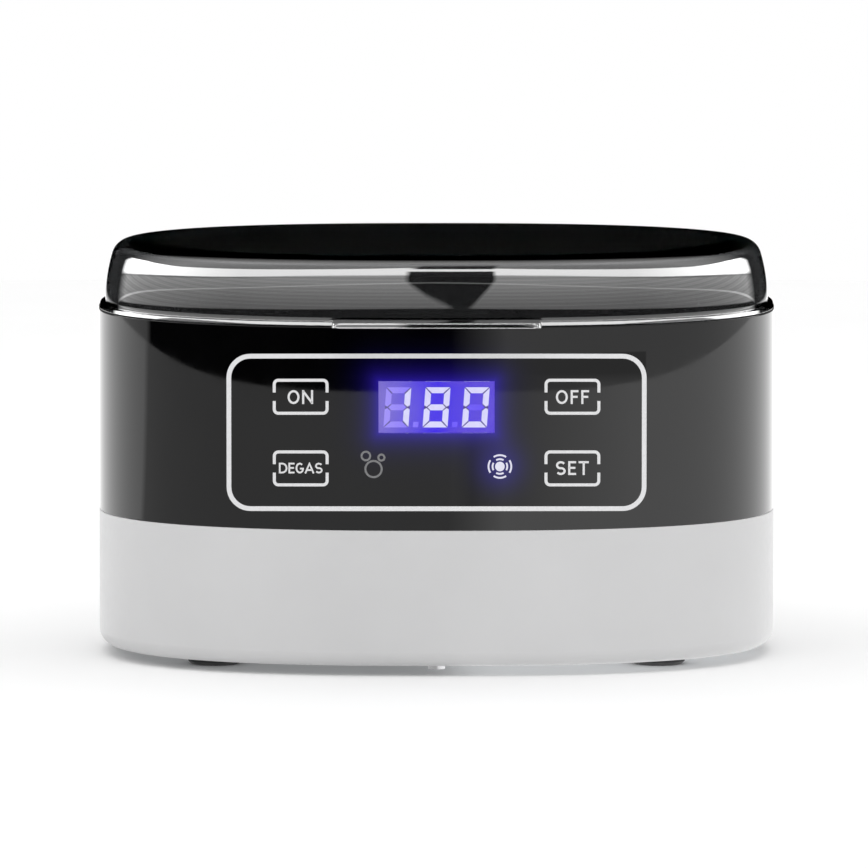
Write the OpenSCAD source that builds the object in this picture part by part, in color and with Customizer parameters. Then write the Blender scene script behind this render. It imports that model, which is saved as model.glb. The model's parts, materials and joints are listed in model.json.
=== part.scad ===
// Table-top ultrasonic cleaner: oval housing, steel tank, lifting basket and clear hinged lid.
// Millimetres, +Z up, the front looks along -Y, origin at the middle of the footprint.

/* [Housing] */
// Length of the housing, left to right
body_length = 215; // [213:1:222]
// Depth of the housing, front to back
body_depth = 170; // [168:1:176]
// Wall thickness of the moulded shells
shell_wall = 2.5; // [2:0.1:3]
// Height of the rubber feet
foot_height = 3; // [2.5:0.1:4]
// Height at which the white base meets the black collar
seam_z = 46; // [44:1:48]
// Height of the collar's top edge
collar_top_z = 109.8; // [108:0.1:111]

/* [Lid] */
// Height of the closed lid above the collar
lid_height = 20.9; // [20:0.1:24]
// Wall thickness of the clear lid
lid_wall = 2.2; // [1.8:0.1:2.5]
// Width of the finger tab at the front of the lid
tab_width = 65.6; // [40:0.1:80]
// How far the finger tab stands out of the housing
tab_reach = 9.5; // [9.5:0.1:12]

/* [Tank and basket] */
// Inner length of the steel tank
tank_length = 160; // [156:1:160]
// Inner depth of the steel tank, front to back
tank_depth = 110; // [106:1:110]
// Height of the tank walls
tank_height = 50; // [48:1:50]
// Thickness of the tank's sheet steel
tank_sheet = 0.8; // [0.6:0.1:1]
// Sideways place of the basket's lifting grip
grip_x = 6.4; // [0:0.1:7]

/* [Hinge] */
// Radius of the hinge knuckles
knuckle_r = 4.5; // [4:0.1:4.5]
// Radius of the steel hinge pin
hinge_pin_r = 2; // [1.5:0.1:2.2]
// Radial clearance of the pin in its bores
pin_play = 0.05; // [0.02:0.01:0.1]

/* [Control panel] */
// Width of the display window
window_width = 36.25; // [34:0.05:37]
// Height of the display window
window_height = 16.25; // [15:0.05:17]
// Height of the display window's centre
window_z = 84.8; // [83:0.1:86]
// Sideways place of the two key columns
key_x = 42.5; // [40:0.5:46]
// Height of the upper keys
upper_key_z = 88.1; // [86:0.1:90]
// Height of the lower keys
lower_key_z = 65.6; // [64:0.1:67]

/* [Transducer] */
// Radius of the transducer horn where it is bonded to the tank
horn_r = 22; // [20:0.5:23]
// Height of the transducer horn
horn_height = 18; // [16:0.5:18]
// Outer radius of the piezo rings and the back mass
stack_r = 19; // [17:0.5:19]

/* [Hidden] */

$fn = 48;
cut = 1;                    // how far a cutting solid runs past the face it cuts
oval_power = 2.5;           // exponent of the oval outline
oval_steps = 96;            // points round the oval outline
half_l = body_length / 2;
half_d = body_depth / 2;
inner_l = half_l - shell_wall;
inner_d = half_d - shell_wall;

// base and bottom plate
base_edge_inset = 2;        // the rounded lower edge, as one step
base_edge_top = foot_height + 2;
lip_z = 5.2;                // underside of the lip that the bottom plate closes
lip_top = 8;
lip_width = 16;
plate_inset = 4.7;
plate_play = 0.3;
plate_z = lip_z - 2;
plate_slots = 7;
plate_slot_x0 = 38;
plate_slot_pitch = 7;
post_x = 78;
post_y = 50;
post_r = 4.5;
post_top = 34;
post_hole_r = 1.7;
counterbore_r = 3.2;
counterbore_top = 28;
screw_r = 1.4;
plate_screws = [[0, 75], [0, -75], [97, 0], [-97, 0]];
foot_x = 70;
foot_y = 45;
foot_r = 8.5;
vent_z = [14, 34];
vent_w = 2.5;
vent_pitch = 5;
vents_per_side = 6;
vent_x0 = 22;

// collar
deck_z = 105.8;
deck_top = 108.3;
rim_width = 6;
tongue_drop = 3;
tank_gap = 0.8;
boss_x = 56;
boss_root_y = -76.2;
boss_z = [61.5, 98.5];

// tank, gasket and flange
tank_l = tank_length / 2;
tank_d = tank_depth / 2;
flange_top = deck_top + 1.6;
flange_z = flange_top - tank_sheet;
flange_width = 4.5;
tank_floor = flange_top - tank_height - tank_sheet;
clip_w = 12;
clip_t = 1.2;
clip_leg = 10;
clip_foot = 11;

// transducer stack, from the tank's floor down
plate_t = 0.3;
piezo_t = 5;
mass_h = 14;
stack_hole_r = 5;
piezo_hole_r = 6.5;
horn_z = tank_floor - horn_height;
piezo_top_z = horn_z - plate_t - piezo_t;
piezo_low_z = piezo_top_z - plate_t - piezo_t;
mass_z = piezo_low_z - plate_t - mass_h;

// driver board
board_x = [-84, -26];
board_y = [-38, 38];
board_z = 12;
board_t = 1.6;
board_top = board_z + board_t;
standoff_x = [-79, -31];
standoff_y = [-33, 33];
heatsink_x = [-80, -48];
heatsink_y = [22, 25];
heatsink_top = 40;
fin_count = 7;
fin_pitch = 5.08;
fin_reach = 10;
transistor_x = [-70, -57];
transistor_z = [18, 33];
core_x = [-58, -36];
core_top = 33;
winding_low = [-53.5, -5.5, 18.4];
winding_high = [-40.5, 13.5, 28.1];
inductor_at = [-70, 3];
inductor_ring_r = 7.4;
inductor_wire_r = 4.2;
capacitor_at = [-71, -22];
fuse_x = -31.5;
fuse_z = 18;
fuse_r = 2.5;

// power inlet in the back wall
inlet_z = 24;
inlet_pitch = 8.6;
inlet_pin_r = 1.2;
inlet_body = [10.4, 5.6];
inlet_lobe_r = 4.3;
inlet_flange = [12, 7];
inlet_flange_t = 1.2;
inlet_back_y = 68;
inlet_socket_y = 73.5;
inlet_pin_y = [62, 83];

// control board behind the panel
panel_board_y = -70;
panel_board_w = 125;
panel_board_z = [57, 103];
display_half = 18.8;
display_z = [75.5, 94.2];
display_y = [-80.2, -72.2];
icon_spots = [[-19.7, 67.2], [19.8, 66.2]];
icon_r = 3.6;
spring_r = 3.2;
spring_wire_r = 0.45;
spring_turns = 4;

// hinge
hinge_y = 90;
hinge_z = 111.5;
knuckle_half = 14.7;
ear_x = [15, 23];
ear_foot_z = 95;
ear_slope_z = 104.5;
ear_screw_x = 19;
ear_screw_z = 102;
ear_screw_end = 89;
small_screw_r = 1.2;
small_head_r = 2.4;
block_screw_x = 9;
block_screw_z = hinge_z + 3.5;

// lid
lid_z = collar_top_z + 0.3;
lid_top = lid_z + lid_height;
lip_t = 1.2;
lid_inset = 2;
tab_t = 1.8;
// the rounded edge in steps: how far each is set in, and how far it ends below the lid's top
lid_steps = [[lid_inset, 12], [2.6, 8], [3.4, 4.6], [5, 2.2], [7, 0.9], [10, 0]];
cavity_steps = [[0, 12], [0.6, 9], [1.8, 5.2], [4.3, 3], [6.8, 2.2]];

// basket
basket_l = 75.5;
basket_d = 50.5;
basket_wall = 2;
basket_floor_z = 61;
basket_top_z = 113.5;
lug_z = flange_top + 0.2;
lug_t = 1.6;
side_slot_z = [68, 103];
side_slot_pitch = 10;
rim_slot_z = [110.6, 112.5];
rim_slot_x0 = 48;
rim_slot_pitch = 4.6;
floor_slot_pitch = 8;
grip_top_z = 121.5;

// internal leads: round numbers from end to end
lead_r = 0.9;
mains_route_left = [
    [-4.3, 61.6, 24], [-6, 56, 25], [-15, 50, 27], [-29, 44, 28], [-39, 37, 27], [-43, 32, 21.8]
];
mains_route_right = [
    [4.3, 61.6, 24], [2, 55, 22], [-8, 47, 23], [-23, 40, 25], [-35, 35, 25], [-39, 32, 21.8]
];
transducer_route_a = [[-25, 3, 35], [-29, 4, 34], [-31, 5, 30], [-30, 5, 25], [-29.5, 5, 20.2]];
transducer_route_b = [
    [-25, 9, 29.5], [-27.5, 9.5, 28.5], [-28.5, 9.5, 26], [-29, 9.5, 23], [-29.5, 9.5, 20.2]
];

// ---------- shapes ----------

function signed_power(v, e) = sign(v) * pow(abs(v), e);

function oval(l, d) = [
    for (i = [0 : oval_steps - 1])
        let (t = 360 * (i + 0.5) / oval_steps)
        [l * signed_power(cos(t), 2 / oval_power), d * signed_power(sin(t), 2 / oval_power)]
];

// solid oval slice from z_low to z_high
module oval_block(l, d, z_low, z_high) {
    translate([0, 0, z_low])
        linear_extrude(z_high - z_low)
            polygon(oval(l, d));
}

// oval tube, measured at its outside
module oval_ring(l, d, wall, z_low, z_high) {
    difference() {
        oval_block(l, d, z_low, z_high);
        oval_block(l - wall, d - wall, z_low - cut, z_high + cut);
    }
}

// box from its lowest to its highest corner
module box(low, high) {
    translate(low)
        cube(high - low);
}

module rod_x(r, x_low, x_high, y, z) {
    translate([x_low, y, z])
        rotate([0, 90, 0])
            cylinder(r = r, h = x_high - x_low);
}

module rod_y(r, y_low, y_high, x, z) {
    translate([x, y_high, z])
        rotate([90, 0, 0])
            cylinder(r = r, h = y_high - y_low);
}

module rod_z(r, z_low, z_high, x, y) {
    translate([x, y, z_low])
        cylinder(r = r, h = z_high - z_low);
}

// a pan-head screw that points up, its head's underside at z
module screw_up(x, y, z, length, head_r = 2.6, head_h = 1.6, r = screw_r) {
    difference() {
        union() {
            rod_z(head_r, z - head_h, z, x, y);
            rod_z(r, z - cut / 2, z + length, x, y);
        }
        box([x - head_r * 0.7, y - 0.3, z - head_h - cut], [x + head_r * 0.7, y + 0.3, z - head_h * 0.5]);
        box([x - 0.3, y - head_r * 0.7, z - head_h - cut], [x + 0.3, y + head_r * 0.7, z - head_h * 0.5]);
    }
}

// both signs of x and y
module four_corners(x, y) {
    for (sx = [-1, 1], sy = [-1, 1])
        translate([sx * x, sy * y, 0])
            children();
}

// points of one ring of a swept tube, square to the route
function unit(v) = v / norm(v);
function route_tangent(p, i) = unit(p[min(i + 1, len(p) - 1)] - p[max(i - 1, 0)]);
function ring_points(p, i, r, sides) =
    let (
        t = route_tangent(p, i),
        side = unit(cross(t, abs(t.z) < 0.9 ? [0, 0, 1] : [0, 1, 0])),
        up = cross(side, t)
    )
    [for (k = [0 : sides - 1]) p[i] + r * (cos(360 * k / sides) * side + sin(360 * k / sides) * up)];

// round tube swept along a route of points
module swept_tube(p, r, sides) {
    rings = len(p);
    points = [for (i = [0 : rings - 1]) each ring_points(p, i, r, sides)];
    sides_faces = [
        for (i = [0 : rings - 2], k = [0 : sides - 1])
            let (n = (k + 1) % sides)
            each [
                [i * sides + k, (i + 1) * sides + k, (i + 1) * sides + n],
                [i * sides + k, (i + 1) * sides + n, i * sides + n]
            ]
    ];
    caps = [
        [for (k = [0 : sides - 1]) k],
        [for (k = [sides - 1 : -1 : 0]) (rings - 1) * sides + k]
    ];
    polyhedron(points = points, faces = concat(sides_faces, caps));
}

// smooth route through hand-set points
function blend_points(a, b, c, d, t) =
    0.5 * (2 * b + (c - a) * t + (2 * a - 5 * b + 4 * c - d) * pow(t, 2)
           + (3 * b - a - 3 * c + d) * pow(t, 3));
function smooth_route(p, steps) = [
    for (i = [0 : len(p) - 2], s = [0 : steps - 1])
        blend_points(p[max(i - 1, 0)], p[i], p[i + 1], p[min(i + 2, len(p) - 1)], s / steps),
    p[len(p) - 1]
];

module lead(route) {
    swept_tube(smooth_route(route, 4), lead_r, 8);
}

// ---------- housing shells ----------

module base_shell() {
    color("whitesmoke")
        difference() {
            union() {
                difference() {
                    union() {
                        oval_block(half_l - base_edge_inset, half_d - base_edge_inset,
                                   foot_height, seam_z);
                        oval_block(half_l, half_d, base_edge_top, seam_z);
                    }
                    oval_block(inner_l, inner_d, lip_top, seam_z + cut);
                    oval_block(half_l - lip_width, half_d - lip_width, foot_height - cut, lip_top + cut);
                    oval_block(half_l - plate_inset + plate_play, half_d - plate_inset + plate_play,
                               foot_height - cut, lip_z);
                }
                four_corners(post_x, post_y)
                    rod_z(post_r, lip_z, post_top, 0, 0);
                for (p = plate_screws)
                    rod_z(3.5, lip_z, lip_top + 6, p.x, p.y);
            }
            four_corners(post_x, post_y) {
                rod_z(post_hole_r, lip_z - cut, post_top + cut, 0, 0);
                rod_z(counterbore_r, lip_z - cut, counterbore_top, 0, 0);
            }
            for (p = plate_screws)
                rod_z(screw_r + pin_play, lip_z - cut, lip_top + 5, p.x, p.y);
            box([-inlet_body.x - 0.2, inner_d - 4, inlet_z - inlet_body.y - 0.2],
                [inlet_body.x + 0.2, half_d + cut, inlet_z + inlet_body.y + 0.2]);
            for (side = [-1, 1], i = [0 : vents_per_side - 1])
                translate([side * (vent_x0 + i * vent_pitch), 0, 0])
                    box([-vent_w / 2, inner_d - 12, vent_z[0]], [vent_w / 2, half_d + cut, vent_z[1]]);
        }
}

module collar() {
    color([0.05, 0.05, 0.06])
        difference() {
            union() {
                difference() {
                    oval_block(half_l, half_d, seam_z, collar_top_z);
                    oval_block(inner_l, inner_d, seam_z - cut, deck_top);
                    oval_block(half_l - rim_width, half_d - rim_width, deck_z, collar_top_z + cut);
                }
                oval_ring(inner_l - 0.3, inner_d - 0.3, 1.7, seam_z - tongue_drop, seam_z + 0.5);
                oval_ring(inner_l, inner_d, 2, seam_z, seam_z + 3);
                for (sx = [-1, 1], z = boss_z)
                    rod_y(3.2, boss_root_y, panel_board_y, sx * boss_x, z);
            }
            for (sx = [-1, 1], z = boss_z)
                rod_y(1.05, panel_board_y - 4, panel_board_y + cut, sx * boss_x, z);
            box([-window_width / 2, -half_d - cut, window_z - window_height / 2],
                [window_width / 2, 3 - inner_d, window_z + window_height / 2]);
            for (sx = [-1, 1])
                rod_y(small_screw_r + 0.1, inner_d - 3, half_d + cut, sx * ear_screw_x, ear_screw_z);
        }
}

// flat deck round the tank, standing on its own four screw posts
module deck() {
    color([0.05, 0.05, 0.06])
        difference() {
            union() {
                oval_block(inner_l - 0.1, inner_d - 0.1, deck_z, deck_top);
                four_corners(post_x, post_y)
                    rod_z(4, post_top + 0.2, deck_z + cut, 0, 0);
            }
            oval_block(tank_l + tank_sheet + tank_gap, tank_d + tank_sheet + tank_gap,
                       deck_z - cut, deck_top + cut);
            four_corners(post_x, post_y)
                rod_z(screw_r + pin_play, post_top - cut, seam_z, 0, 0);
            for (p = clip_spots())
                rod_z(small_screw_r + pin_play, deck_z - cut, deck_top - 0.2, p.x, p.y);
        }
}

module bottom_plate() {
    color("gainsboro")
        difference() {
            oval_block(half_l - plate_inset, half_d - plate_inset, plate_z, lip_z);
            for (p = plate_screws)
                rod_z(screw_r + 0.1, plate_z - cut, lip_z + cut, p.x, p.y);
            for (x = standoff_x, y = standoff_y)
                rod_z(1.05, plate_z - cut, lip_z + cut, x, y);
            for (i = [0 : plate_slots - 1])
                translate([plate_slot_x0 + plate_slot_pitch * i, 0, 0])
                    box([-1.5, -16, plate_z - cut], [1.5, 16, lip_z + cut]);
        }
}

module bottom_screws() {
    color("silver")
        for (p = plate_screws)
            screw_up(p.x, p.y, plate_z, 8.5);
}

module rubber_feet() {
    color([0.15, 0.15, 0.15])
        four_corners(foot_x, foot_y)
            difference() {
                union() {
                    cylinder(r1 = foot_r - 1, r2 = foot_r, h = 1);
                    rod_z(foot_r, 1, plate_z, 0, 0);
                }
                rod_z(foot_r - 4, -cut, 0.8, 0, 0);
            }
}

module collar_screws() {
    color("silver")
        four_corners(post_x, post_y)
            screw_up(0, 0, counterbore_top, 16);
}

// ---------- tank ----------

module tank() {
    color("silver")
        union() {
            oval_ring(tank_l + tank_sheet, tank_d + tank_sheet, tank_sheet, tank_floor, flange_top);
            oval_block(tank_l + tank_sheet, tank_d + tank_sheet, tank_floor, tank_floor + tank_sheet);
            difference() {
                oval_block(tank_l + flange_width, tank_d + flange_width, flange_z, flange_top);
                oval_block(tank_l, tank_d, flange_z - cut, flange_top + cut);
            }
        }
}

module tank_gasket() {
    color([0.2, 0.2, 0.2])
        oval_ring(tank_l + 4, tank_d + 4, 2.4, deck_top, flange_z);
}

// screw places of the four clips that hold the tank from below
function clip_spots() = [
    [tank_l + 8, 0], [-tank_l - 8, 0], [0, tank_d + 8], [0, -tank_d - 8]
];

// one angle clip: a leg welded to the tank's wall and a foot screwed under the deck
module tank_clip(reach) {
    difference() {
        union() {
            box([reach, -clip_w / 2, deck_z - clip_leg], [reach + clip_t, clip_w / 2, deck_z]);
            box([reach, -clip_w / 2, deck_z - clip_t], [reach + clip_foot, clip_w / 2, deck_z]);
        }
        rod_z(1.3, deck_z - clip_t - cut, deck_z + cut, reach + 8 - tank_sheet, 0);
    }
}

module tank_clips() {
    color("lightgray") {
        for (turn = [0, 180])
            rotate([0, 0, turn])
                tank_clip(tank_l + tank_sheet);
        for (turn = [90, 270])
            rotate([0, 0, turn])
                tank_clip(tank_d + tank_sheet);
    }
}

module clip_screws() {
    color("silver")
        for (p = clip_spots())
            screw_up(p.x, p.y, deck_z - clip_t, 3.4, r = small_screw_r);
}

// ---------- transducer ----------

module transducer_horn() {
    color("lightsteelblue")
        difference() {
            translate([0, 0, horn_z])
                cylinder(r1 = stack_r, r2 = horn_r, h = horn_height);
            rod_z(stack_hole_r + pin_play, horn_z - cut, horn_z + 12, 0, 0);
        }
}

module piezo_rings() {
    color("dimgray")
        for (z = [piezo_top_z, piezo_low_z])
            difference() {
                rod_z(stack_r, z, z + piezo_t, 0, 0);
                rod_z(piezo_hole_r, z - cut, z + piezo_t + cut, 0, 0);
            }
}

// thin brass disc with a solder tab on the driver board's side
module electrode(z, tab_y) {
    difference() {
        union() {
            rod_z(stack_r, z, z + plate_t, 0, 0);
            box([-stack_r - 6, tab_y - 1.5, z], [-stack_r + 4, tab_y + 1.5, z + plate_t]);
        }
        rod_z(piezo_hole_r, z - cut, z + plate_t + cut, 0, 0);
    }
}

module electrode_plates() {
    color("goldenrod") {
        electrode(horn_z - plate_t, 9);
        electrode(piezo_top_z - plate_t, 3);
        electrode(piezo_low_z - plate_t, 9);
    }
}

module back_mass() {
    color("slategray")
        difference() {
            rod_z(stack_r, mass_z, mass_z + mass_h, 0, 0);
            rod_z(stack_hole_r + pin_play, mass_z - cut, mass_z + mass_h + cut, 0, 0);
        }
}

module transducer_bolt() {
    color([0.25, 0.25, 0.27])
        difference() {
            union() {
                rod_z(8, mass_z - 6, mass_z, 0, 0);
                rod_z(stack_hole_r, mass_z - cut, horn_z + 10, 0, 0);
            }
            translate([0, 0, mass_z - 6 - cut])
                cylinder(r = 4.6, h = 4 + cut, $fn = 6);
        }
}

module transducer_leads() {
    color("firebrick") {
        lead(transducer_route_a);
        lead(transducer_route_b);
    }
}

// ---------- driver board ----------

module driver_board() {
    color("darkgreen")
        difference() {
            box([board_x[0], board_y[0], board_z], [board_x[1], board_y[1], board_top]);
            for (x = standoff_x, y = standoff_y)
                rod_z(1.3, board_z - cut, board_top + cut, x, y);
        }
}

module board_standoffs() {
    color("white")
        for (x = standoff_x, y = standoff_y)
            difference() {
                rod_z(3, lip_z, board_z, x, y);
                rod_z(1.3, lip_z - cut, board_z + cut, x, y);
            }
}

module board_screws() {
    color("silver")
        for (x = standoff_x, y = standoff_y)
            translate([0, 0, 2 * board_top])
                mirror([0, 0, 1])
                    screw_up(x, y, board_top, 7, r = small_screw_r);
}

module heatsink() {
    color("gray") {
        box([heatsink_x[0], heatsink_y[0], board_top], [heatsink_x[1], heatsink_y[1], heatsink_top]);
        for (i = [0 : fin_count - 1])
            translate([heatsink_x[0] + i * fin_pitch, heatsink_y[1] - 0.5, board_top + 2])
                cube([1.5, fin_reach, heatsink_top - board_top - 2]);
    }
}

module power_transistors() {
    color([0.12, 0.12, 0.12])
        for (x = transistor_x) {
            box([x - 5, heatsink_y[0] - 4.4, transistor_z[0]], [x + 5, heatsink_y[0], transistor_z[1]]);
            for (leg_x = [-2.54, 0, 2.54])
                box([x + leg_x - 0.4, heatsink_y[0] - 3.4, board_top],
                    [x + leg_x + 0.4, heatsink_y[0] - 2.9, transistor_z[0] + 0.5]);
        }
}

module drive_transformer() {
    color("saddlebrown") {
        box([core_x[0], -4, board_top], [core_x[1], 1, core_top]);
        box([core_x[0], 7, board_top], [core_x[1], 12, core_top]);
        box([core_x[0], 0.5, core_top - 4.5], [core_x[1], 7.5, core_top]);
        box([core_x[0], 0.5, board_top], [core_x[1], 7.5, board_top + 4.4]);
        box(winding_low, winding_high);
    }
}

module resonance_inductor() {
    color("peru")
        translate([inductor_at.x, inductor_at.y, board_top + inductor_wire_r])
            rotate_extrude()
                translate([inductor_ring_r, 0])
                    circle(r = inductor_wire_r);
}

module supply_capacitor() {
    color("midnightblue")
        translate([capacitor_at.x, capacitor_at.y, board_top])
            rotate_extrude()
                polygon([
                    [0, 0], [8, 0], [8, 2], [7.4, 2.6], [7.4, 3.6], [8, 4.2], [8, 27], [7.2, 28], [0, 28]
                ]);
}

module film_capacitors() {
    color("darkred")
        for (y = [-28, -17])
            box([-57, y, board_top], [-40, y + 6, 25]);
}

module mains_fuse() {
    color("lightcyan")
        rod_y(fuse_r, -26, -6, fuse_x, fuse_z);
}

module fuse_clips() {
    color("silver")
        for (y = [-25, -11])
            difference() {
                box([fuse_x - 3.5, y, board_top], [fuse_x + 3.5, y + 4, fuse_z + 1.5]);
                rod_y(fuse_r + pin_play, y - cut, y + 4 + cut, fuse_x, fuse_z);
                box([fuse_x - 1.5, y - cut, fuse_z], [fuse_x + 1.5, y + 4 + cut, fuse_z + 2]);
            }
}

module board_connectors() {
    color("ivory") {
        box([-47, 28, board_top], [-35, 36, 21]);
        box([-33, 2, board_top], [-27, 12.5, 19.2]);
        box([-51, -37.5, board_top], [-37, -32, 19]);
    }
}

// ---------- power inlet ----------

module power_inlet() {
    color([0.08, 0.08, 0.08])
        difference() {
            union() {
                box([-inlet_flange.x, half_d, inlet_z - inlet_flange.y],
                    [inlet_flange.x, half_d + inlet_flange_t, inlet_z + inlet_flange.y]);
                box([-inlet_body.x, inlet_back_y, inlet_z - inlet_body.y],
                    [inlet_body.x, half_d + cut, inlet_z + inlet_body.y]);
            }
            for (sx = [-1, 1]) {
                rod_y(inlet_lobe_r, inlet_socket_y, half_d + 2, sx * inlet_pitch / 2, inlet_z);
                rod_y(inlet_pin_r + pin_play, 60, half_d, sx * inlet_pitch / 2, inlet_z);
            }
            box([-inlet_pitch / 2, inlet_socket_y, inlet_z - 3.2],
                [inlet_pitch / 2, half_d + 2, inlet_z + 3.2]);
        }
}

module inlet_pins() {
    color("gold")
        for (sx = [-1, 1])
            rod_y(inlet_pin_r, inlet_pin_y[0], inlet_pin_y[1], sx * inlet_pitch / 2, inlet_z);
}

module mains_leads() {
    color("saddlebrown") {
        lead(mains_route_left);
        lead(mains_route_right);
    }
}

// ---------- control board ----------

module control_board() {
    color("darkgreen")
        difference() {
            box([-panel_board_w / 2, panel_board_y, panel_board_z[0]],
                [panel_board_w / 2, panel_board_y + board_t, panel_board_z[1]]);
            for (sx = [-1, 1], z = boss_z)
                rod_y(1.2, panel_board_y - cut, panel_board_y + board_t + cut, sx * boss_x, z);
        }
}

module control_board_screws() {
    color("silver")
        for (sx = [-1, 1], z = boss_z) {
            rod_y(1, panel_board_y - 3.5, panel_board_y + board_t + 0.5, sx * boss_x, z);
            rod_y(2.2, panel_board_y + board_t, panel_board_y + board_t + 1.5, sx * boss_x, z);
        }
}

module touch_chip() {
    color([0.1, 0.1, 0.1])
        box([20, panel_board_y + board_t, 68], [30, panel_board_y + board_t + 1.6, 78]);
}

module buzzer() {
    color([0.12, 0.12, 0.12])
        difference() {
            rod_y(6, panel_board_y + board_t, panel_board_y + board_t + 7, -28, 84);
            rod_y(1, panel_board_y + board_t + 4, panel_board_y + board_t + 8, -28, 84);
        }
}

// flat cable and its two plugs, from the control board down to the driver board
module ribbon_cable() {
    color("lightgray") {
        box([-51, panel_board_y + board_t, 58.5], [-37, -62.5, 63.5]);
        translate([-50, 0, 0])
            rotate([90, 0, 90])
                linear_extrude(12)
                    polygon([
                        [-64.5, 58.8], [-63.6, 58.8], [-63.6, 30], [-60, 26], [-35.6, 24], [-34.3, 22.6],
                        [-34.3, 19], [-35.2, 19], [-35.2, 22.2], [-36, 23], [-60.4, 25.1], [-64.5, 29.6]
                    ]);
    }
}

module led_display() {
    color("lavender") {
        box([-display_half, display_y[0], display_z[0]], [display_half, display_y[1], display_z[1]]);
        for (i = [-5 : 2 : 5], z = [display_z[0] + 1.7, display_z[1] - 1.7])
            rod_y(0.35, display_y[1] - 0.5, panel_board_y, i * 2.54, z);
    }
}

module display_window() {
    color([0.35, 0.3, 0.9, 0.6])
        intersection() {
            oval_ring(half_l, half_d, shell_wall, seam_z, collar_top_z);
            box([0.1 - window_width / 2, -half_d - cut, window_z - window_height / 2 + 0.1],
                [window_width / 2 - 0.1, 3 - inner_d, window_z + window_height / 2 - 0.1]);
        }
}

function spring_route(x, z, y_low, y_high) = [
    for (i = [0 : spring_turns * 12])
        let (t = i / (spring_turns * 12), turn = 360 * spring_turns * t)
        [x + spring_r * cos(turn), y_low + (y_high - y_low) * t, z + spring_r * sin(turn)]
];

// coil springs that carry each touch key's field to the inside of the panel
module touch_springs() {
    color("gold")
        for (sx = [-1, 1], z = [upper_key_z, lower_key_z])
            swept_tube(spring_route(sx * key_x, z, -77.8, panel_board_y - 0.5), spring_wire_r, 6);
}

module indicator_lights() {
    color("lightyellow")
        for (p = icon_spots)
            box([p.x - 1.8, panel_board_y - 1.6, p.y - 1.4], [p.x + 1.8, panel_board_y, p.y + 1.4]);
}

module light_guides() {
    color([0.8, 0.85, 0.95, 0.6])
        for (p = icon_spots)
            rod_y(icon_r, -81.3, panel_board_y - 1.8, p.x, p.y);
}

// ---------- hinge and lid ----------

// one hinge ear, standing on the outside of the collar's back wall
module hinge_ear(x_low, x_high) {
    gusset = [
        [half_d - 3, ear_foot_z], [half_d, ear_foot_z], [hinge_y + knuckle_r, ear_slope_z],
        [hinge_y + knuckle_r, hinge_z], [hinge_y - knuckle_r, hinge_z],
        [hinge_y - knuckle_r, collar_top_z - 0.2], [half_d - 3, collar_top_z - 0.2]
    ];
    translate([x_low, 0, 0])
        rotate([90, 0, 90])
            linear_extrude(x_high - x_low)
                polygon(gusset);
    rod_x(knuckle_r, x_low, x_high, hinge_y, hinge_z);
}

module hinge_ears() {
    color([0.05, 0.05, 0.06])
        difference() {
            union() {
                hinge_ear(ear_x[0], ear_x[1]);
                hinge_ear(-ear_x[1], -ear_x[0]);
            }
            oval_block(half_l, half_d, ear_foot_z - cut, collar_top_z + cut);
            rod_x(hinge_pin_r + pin_play, -ear_x[1] - cut, ear_x[1] + cut, hinge_y, hinge_z);
            for (sx = [-1, 1])
                rod_y(small_screw_r + pin_play, half_d - 4, ear_screw_end, sx * ear_screw_x, ear_screw_z);
        }
}

// screws that hold the ears from inside the collar
module ear_screws() {
    color("silver")
        for (sx = [-1, 1]) {
            rod_y(small_screw_r, inner_d - 1.5, ear_screw_end - 0.5, sx * ear_screw_x, ear_screw_z);
            rod_y(small_head_r, inner_d - 2.3, inner_d - 0.7, sx * ear_screw_x, ear_screw_z);
        }
}

module hinge_pin() {
    color("silver")
        rod_x(hinge_pin_r, -ear_x[1] + 0.4, ear_x[1] - 0.4, hinge_y, hinge_z);
}

module lid() {
    color([0.6, 0.63, 0.66, 0.45])
        difference() {
            union() {
                oval_block(half_l, half_d, lid_z, lid_z + lip_t);
                for (step = lid_steps)
                    oval_block(half_l - step[0], half_d - step[0], lid_z, lid_top - step[1]);
                box([-tab_width / 2, -half_d - tab_reach, lid_z],
                    [tab_width / 2, -half_d + 6, lid_z + tab_t]);
            }
            for (step = cavity_steps)
                translate([0, 0, lid_z - cut])
                    linear_extrude(lid_height + cut - step[1])
                        polygon(oval(half_l - lid_inset - lid_wall - step[0],
                                     half_d - lid_inset - lid_wall - step[0]));
            for (sx = [-1, 1])
                rod_y(small_screw_r + 0.1, half_d - 10, half_d + cut, sx * block_screw_x, block_screw_z);
        }
}

// knuckle and plate that carry the lid
module hinge_block() {
    color([0.1, 0.1, 0.1])
        difference() {
            union() {
                box([-knuckle_half, half_d - 1.95, lid_z + lip_t + 0.1],
                    [knuckle_half, hinge_y - 2, hinge_z + knuckle_r + 1.5]);
                rod_x(knuckle_r, -knuckle_half, knuckle_half, hinge_y, hinge_z);
            }
            rod_x(hinge_pin_r + pin_play, -knuckle_half - cut, knuckle_half + cut, hinge_y, hinge_z);
            for (sx = [-1, 1])
                rod_y(small_screw_r + pin_play, half_d - 4, half_d + 2.5,
                      sx * block_screw_x, block_screw_z);
        }
}

module hinge_screws() {
    color("silver")
        for (sx = [-1, 1]) {
            rod_y(small_screw_r, half_d - 5, half_d + 2, sx * block_screw_x, block_screw_z);
            rod_y(small_head_r, half_d - 6.2, half_d - 4.5, sx * block_screw_x, block_screw_z);
        }
}

// ---------- basket ----------

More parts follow.
